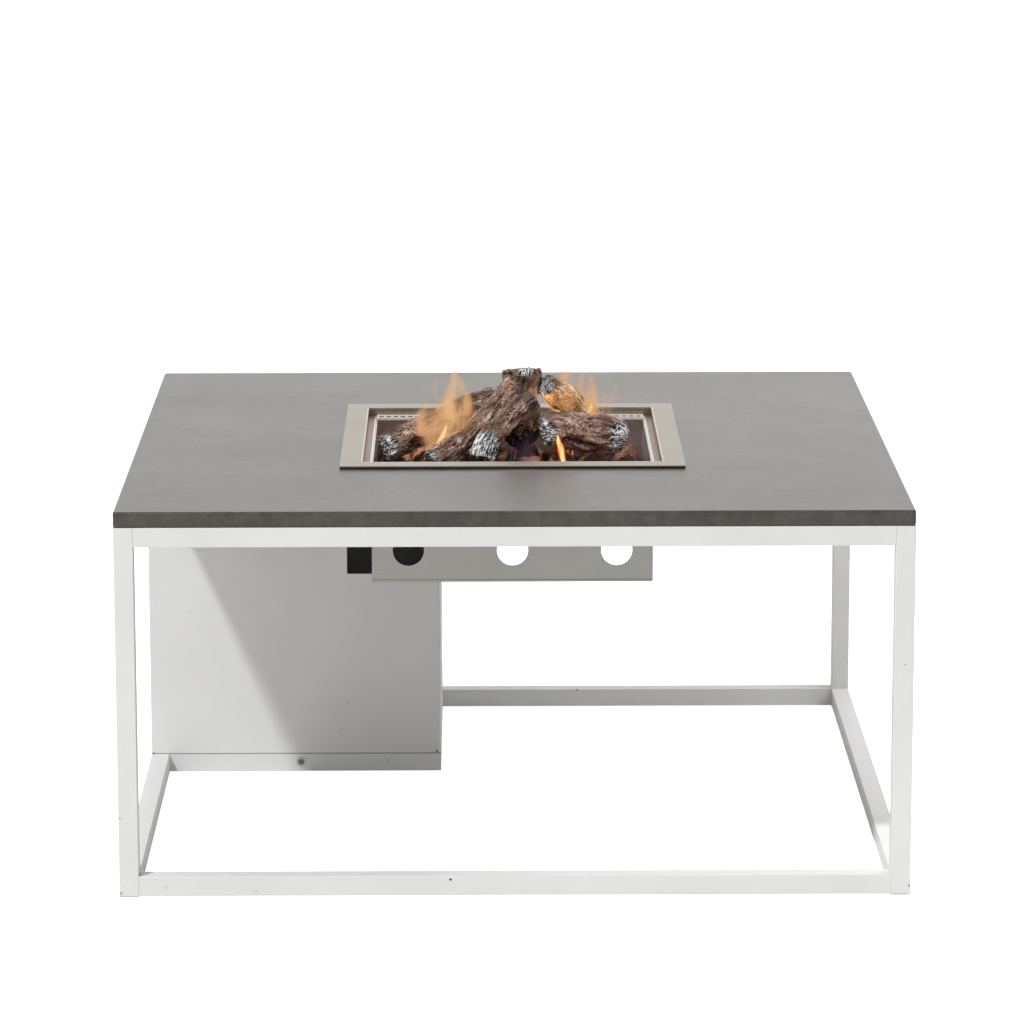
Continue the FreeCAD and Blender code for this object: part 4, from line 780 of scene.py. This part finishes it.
def flame(name, core, rim, bright, thick, ragged, path):
    """One flame: a glowing haze round a path of points and radii. It is thick along the path
    and thins out to its ragged edge, and its colour goes from the core's to the rim's."""
    fire = bpy.data.materials.new(name)
    fire.use_nodes = True
    tree = fire.node_tree
    tree.nodes.clear()
    place = add(tree, "TexCoord", {}).outputs["Object"]
    spot = add(tree, "SeparateXYZ", {0: place})
    low, high = path[0][2], path[-1][2]
    rise = add(tree, "MapRange", {"Value": spot.outputs[2], "From Min": low, "From Max": high})
    # The ramp's colours hold the path: half a metre more than x and y, and the radius.
    follow = add(tree, "ValToRGB", {"Fac": rise.outputs[0]})
    for x, y, z, radius in path[1:-1]:
        stop = follow.color_ramp.elements.new((z - low) / (high - low))
        stop.color = (x + 0.5, y + 0.5, radius, 1)
    for stop, (x, y, z, radius) in ((0, path[0]), (-1, path[-1])):
        follow.color_ramp.elements[stop].color = (x + 0.5, y + 0.5, radius, 1)
    centre = add(tree, "SeparateXYZ", {0: follow.outputs["Color"]})
    sideways = add(tree, "Math", {0: spot.outputs[0], 1: 0.5}, operation="ADD")
    away_x = add(tree, "Math", {0: sideways.outputs[0], 1: centre.outputs[0]},
                 operation="SUBTRACT")
    deeper = add(tree, "Math", {0: spot.outputs[1], 1: 0.5}, operation="ADD")
    away_y = add(tree, "Math", {0: deeper.outputs[0], 1: centre.outputs[1]},
                 operation="SUBTRACT")
    away = add(tree, "CombineXYZ", {0: away_x.outputs[0], 1: away_y.outputs[0]})
    off = add(tree, "VectorMath", {0: away.outputs[0]}, operation="LENGTH")
    share = add(tree, "Math", {0: off.outputs["Value"], 1: centre.outputs[2]},
                operation="DIVIDE")
    tall = add(tree, "Mapping", {"Vector": place, "Scale": (1.0, 1.0, 0.35)})
    lick = add(tree, "TexNoise", {"Vector": tall.outputs[0], "Scale": 75.0, "Detail": 4.0,
                                  "Roughness": 0.6, "Distortion": 0.4})
    torn = add(tree, "MapRange", {"Value": lick.outputs["Fac"], "From Min": 0.62,
                                  "From Max": 0.36, "To Min": 0.15, "To Max": 1.6})
    waver = add(tree, "Math", {0: lick.outputs["Fac"], 1: ragged, 2: share.outputs[0]},
                operation="MULTIPLY_ADD")
    body = add(tree, "MapRange", {"Value": waver.outputs[0], "From Min": 1.0 + ragged / 2,
                                  "From Max": ragged / 2 + 0.15}, interpolation_type="SMOOTHSTEP")
    filled = add(tree, "Math", {0: body.outputs[0], 1: torn.outputs[0]}, operation="MULTIPLY")
    depth = add(tree, "Math", {0: filled.outputs[0], 1: thick}, operation="MULTIPLY")
    tone = add(tree, "ValToRGB", {"Fac": body.outputs[0]})
    tint(tone, (0.25, rim), (0.85, core))
    power = add(tree, "Math", {0: depth.outputs[0], 1: bright}, operation="MULTIPLY")
    light = add(tree, "Emission", {"Color": tone.outputs["Color"],
                                   "Strength": power.outputs[0]})
    smoke = add(tree, "VolumeAbsorption", {"Color": (0, 0, 0, 1), "Density": depth.outputs[0]})
    both = add(tree, "AddShader", {0: light.outputs[0], 1: smoke.outputs[0]})
    add(tree, "OutputMaterial", {"Volume": both.outputs[0]})
    bpy.ops.object.select_all(action="DESELECT")
    bpy.ops.mesh.primitive_uv_sphere_add(segments=16, ring_count=24, radius=1)
    tongue = bpy.context.object
    tongue.name = name
    line = [Vector(point[:3]) for point in path]
    for vertex in tongue.data.vertices:
        along = (vertex.co.z + 1) / 2 * (len(line) - 1)
        step = min(int(along), len(line) - 2)
        here = along - step
        middle = line[step].lerp(line[step + 1], here)
        radius = path[step][3] * (1 - here) + path[step + 1][3] * here
        around = vertex.co.xy.normalized() if vertex.co.xy.length > 0.001 else Vector((0, 0))
        around *= radius * 1.2 * min(1, vertex.co.xy.length * 1.6)
        vertex.co = middle + Vector((around.x, around.y, 0))
    tongue.data.materials.append(fire)
    tongue.visible_diffuse = False
    tongue.visible_glossy = False
    tongue.visible_shadow = False


def fire_light(name, place, energy):
    """What a flame throws on the logs near it."""
    shine = bpy.data.objects.new(name, bpy.data.lights.new(name, "POINT"))
    bpy.context.scene.collection.objects.link(shine)
    shine.data.color = (1, 0.62, 0.30)
    shine.data.shadow_soft_size = 0.012
    shine.data.energy = energy
    shine.visible_glossy = False
    shine.location = place


flame("flame_body_left", "#ecb680", "#d9a06a", 1.0, 36, 1.0, [
    (-0.100, 0.014, 0.458, 0.0162), (-0.099, 0.014, 0.480, 0.0271),
    (-0.093, 0.012, 0.503, 0.0378), (-0.087, 0.010, 0.526, 0.0364),
    (-0.083, 0.008, 0.543, 0.0229), (-0.080, 0.008, 0.556, 0.0094)])
flame("flame_column_left", "#efc092", "#e0a870", 1.0, 62, 0.8, [
    (-0.088, 0.010, 0.518, 0.0176), (-0.085, 0.010, 0.538, 0.0162),
    (-0.081, 0.008, 0.556, 0.0121), (-0.077, 0.008, 0.570, 0.0088),
    (-0.076, 0.008, 0.584, 0.0061), (-0.073, 0.008, 0.595, 0.0040)])
flame("flame_strand_left", "#e8b888", "#dcae80", 1.0, 44, 0.9, [
    (-0.065, 0.008, 0.523, 0.0121), (-0.062, 0.008, 0.538, 0.0148),
    (-0.062, 0.008, 0.552, 0.0121), (-0.066, 0.008, 0.566, 0.0081),
    (-0.070, 0.008, 0.578, 0.0040)])
flame("flame_lobe_left", "#ecb88a", "#dca676", 1.0, 66, 0.9, [
    (-0.121, 0.012, 0.494, 0.0081), (-0.125, 0.012, 0.506, 0.0122),
    (-0.126, 0.012, 0.520, 0.0122), (-0.120, 0.012, 0.531, 0.0094),
    (-0.114, 0.012, 0.541, 0.0040)])
flame("flame_lobe_middle", "#e8ac70", "#dba066", 1.0, 26, 0.8, [
    (-0.068, 0.006, 0.496, 0.0122), (-0.061, 0.004, 0.513, 0.0175),
    (-0.058, 0.003, 0.531, 0.0175), (-0.062, 0.002, 0.548, 0.0135),
    (-0.069, 0.002, 0.564, 0.0054)])
flame("flame_wisp_left", "#e6b080", "#dca676", 1.0, 24, 0.6, [
    (-0.099, 0.008, 0.544, 0.0067), (-0.103, 0.008, 0.556, 0.0067),
    (-0.104, 0.008, 0.567, 0.0054), (-0.100, 0.008, 0.578, 0.0027)])
flame("flame_bright_left", "#ffebb0", "#f09a3a", 1.35, 420, 0.4, [
    (-0.103, 0.000, 0.477, 0.0032), (-0.099, 0.000, 0.484, 0.0065),
    (-0.095, 0.000, 0.493, 0.0070), (-0.091, 0.000, 0.503, 0.0049),
    (-0.087, 0.000, 0.513, 0.0019)])
flame("flame_bright_middle", "#f7a860", "#d86a2c", 1.0, 420, 0.4, [
    (-0.021, -0.004, 0.487, 0.0032), (-0.017, -0.004, 0.493, 0.0059),
    (-0.011, -0.002, 0.500, 0.0024)])
flame("flame_bright_front", "#ffe598", "#f06a10", 1.6, 620, 0.45, [
    (0.070, -0.040, 0.466, 0.0038), (0.068, -0.040, 0.477, 0.0062),
    (0.066, -0.040, 0.488, 0.0064), (0.063, -0.040, 0.498, 0.0046),
    (0.062, -0.040, 0.506, 0.0016)])
flame("flame_pilot", "#f0a070", "#a85c3c", 1.0, 360, 0.3, [
    (0.082, -0.038, 0.478, 0.0016), (0.082, -0.038, 0.481, 0.0024),
    (0.082, -0.038, 0.485, 0.0013)])
flame("flame_haze_right", "#ecb075", "#dca064", 1.0, 48, 0.8, [
    (0.112, 0.062, 0.507, 0.0095), (0.110, 0.062, 0.523, 0.0163), (0.109, 0.062, 0.538, 0.0177),
    (0.109, 0.062, 0.553, 0.0136), (0.109, 0.062, 0.567, 0.0082), (0.106, 0.062, 0.579, 0.0041)])
flame("flame_wisp_right", "#e6b080", "#dca676", 1.0, 40, 0.6, [
    (0.095, 0.062, 0.541, 0.0082), (0.095, 0.062, 0.554, 0.0095), (0.097, 0.062, 0.568, 0.0068),
    (0.099, 0.062, 0.582, 0.0027)])
flame("flame_bright_right", "#ffe3a8", "#ec9444", 1.1, 170, 0.6, [
    (0.103, 0.050, 0.514, 0.0057), (0.106, 0.050, 0.521, 0.0065), (0.109, 0.050, 0.528, 0.0049),
    (0.110, 0.050, 0.534, 0.0020)])
flame("flame_far_right", "#e4b084", "#d8a87c", 1.0, 36, 0.7, [
    (0.133, 0.090, 0.505, 0.0082), (0.139, 0.090, 0.521, 0.0109), (0.141, 0.090, 0.537, 0.0082),
    (0.145, 0.090, 0.552, 0.0034)])
flame("flame_far_middle", "#e4b084", "#d8a87c", 1.0, 36, 0.6, [
    (0.126, 0.090, 0.510, 0.0055), (0.129, 0.090, 0.524, 0.0068), (0.128, 0.090, 0.538, 0.0034)])
flame("flame_back", "#eeb075", "#e0a060", 1.0, 55, 0.7, [
    (0.067, 0.086, 0.545, 0.0096), (0.073, 0.086, 0.560, 0.0136), (0.077, 0.086, 0.572, 0.0095),
    (0.081, 0.086, 0.586, 0.0041)])
flame("flame_under", "#f4c890", "#e6a262", 1.1, 110, 0.6, [
    (0.066, 0.084, 0.509, 0.0082), (0.060, 0.084, 0.521, 0.0137), (0.054, 0.084, 0.533, 0.0109),
    (0.047, 0.084, 0.544, 0.0041)])
flame("flame_front_right", "#e8a868", "#dca064", 1.0, 20, 0.8, [
    (0.076, 0.030, 0.522, 0.0095), (0.078, 0.032, 0.535, 0.0163), (0.081, 0.032, 0.550, 0.0149),
    (0.083, 0.034, 0.566, 0.0068)])
flame("flame_blue", "#4a3a52", "#3a2e40", 1.0, 14, 0.7, [
    (0.016, -0.012, 0.461, 0.0189), (0.018, -0.012, 0.476, 0.0269),
    (0.021, -0.010, 0.489, 0.0202), (0.026, -0.008, 0.503, 0.0081)])
fire_light("fire_light_left", (-0.086, -0.014, 0.535), 0.035)
fire_light("fire_light_back", (0.085, 0.035, 0.522), 0.05)
fire_light("fire_light_under", (0.045, 0.040, 0.530), 0.03)
fire_light("fire_light_front", (0.066, -0.050, 0.488), 0.02)
fire_light("fire_light_corner", (-0.145, 0.120, 0.474), 0.080)
fire_light("fire_light_low", (-0.128, -0.052, 0.478), 0.006)


# Bottle housing: 1.5 mm steel sheet, folded and powder coated like the frame. It stands on two
# base tubes and is open towards the burner box, which its corner notch clears.

# Two dark dots at the front's lower corners are painted shade in the corner relief holes; the others
# are rubs and marks in the coat.
SHEET_WEAR_AND_SHADE = [
    (-0.444, 0.110, 0.2305, 0.0010, "#b3afaa"), (-0.236, 0.110, 0.0615, 0.0014, "#bdb8a6"),
    (-0.2263, 0.110, 0.1016, 0.0010, "#b5b1ac"), (-0.497, 0.110, 0.0280, 0.0016, "#77716b"),
    (-0.103, 0.110, 0.0300, 0.0016, "#6f6963"),
]
sheet_coat = powder_coat("white_powder_coat_sheet", ("#e2e2e1", "#e7e7e6"), SHEET_WEAR_AND_SHADE)
# The sheet is painted darker along its foot, where it stands on the base tubes: a painted shade line
# in the joint.
tree, surface = sheet_coat.node_tree, sheet_coat.node_tree.nodes["Principled BSDF"]
right, height, out, deep = measure_from_middle(tree)
colour_within(tree, surface, "#8e8b87", 1.0, (height, 0.0284, 0.0278))
dress(sheet_coat, "housing_shell", "housing_floor", "housing_door", "control_panel")


# Small fixings: zinc plated steel screws, collar, door pins, bezel and nut, bright blue-grey with
# a cloudy film. The pins turn in bushes of black plastic, and the catch is plastic too.

def zinc_plate(name, tones, rough):
    """Bright zinc plating, blue-grey, with a cloudy passivated film."""
    material, tree, surface = new_finish(name)
    place = add(tree, "TexCoord", {}).outputs["Object"]
    film = add(tree, "TexNoise", {"Vector": place, "Scale": 260.0, "Detail": 4.0})
    shade = add(tree, "ValToRGB", {"Fac": film.outputs["Fac"]})
    tint(shade, (0.35, tones[0]), (0.65, tones[1]))
    tree.links.new(shade.outputs["Color"], surface.inputs["Base Color"])
    gloss = add(tree, "MapRange", {"Value": film.outputs["Fac"], "To Min": rough - 0.08,
                                   "To Max": rough + 0.10})
    tree.links.new(gloss.outputs[0], surface.inputs["Roughness"])
    surface.inputs["Metallic"].default_value = 1.0
    return material


zinc = zinc_plate("zinc_plated_steel", ("#9aa0a6", "#c9ccc8"), 0.32)
dress(zinc, "tab_screws", "panel_screws", "door_pins", "knob_bezel", "igniter_nut")
collar_zinc = zinc_plate("bright_zinc_collar", ("#d3d5d6", "#ecedeb"), 0.45)
# The collar's outer edge stands off the tube, and a dark ring painted round it is a painted shadow
# line.
tree, surface = collar_zinc.node_tree, collar_zinc.node_tree.nodes["Principled BSDF"]
place = add(tree, "TexCoord", {}).outputs["Object"]
off_centre = add(tree, "VectorMath", {0: place, 1: (-0.292, 0.1095, 0.0155)}, operation="DISTANCE")
colour_within(tree, surface, "#7b7975", 0.9, (off_centre.outputs["Value"], 0.0059, 0.0062))
dress(collar_zinc, "screw_collar")
screw_zinc = zinc_plate("dull_zinc_screw", ("#76776f", "#94958d"), 0.40)
dress(screw_zinc, "bar_screw")


# Gas controls: a brass valve with a brass spindle, its moulded knob, the piezo igniter and its
# button, the hose inlet, and a steel supply pipe to the burner.

dress(brass, "control_valve", "gas_inlet", "valve_spindle")
pipe_steel = zinc_plate("galvanised_pipe", ("#8d9193", "#adb0ae"), 0.42)
dress(pipe_steel, "supply_pipe")
knob_black = moulded("black_phenolic", ("#121212", "#232222"), 0.0009, 0.42)
dress(knob_black, "control_knob", "igniter_button", "igniter_body", "door_bushes", "door_catch")
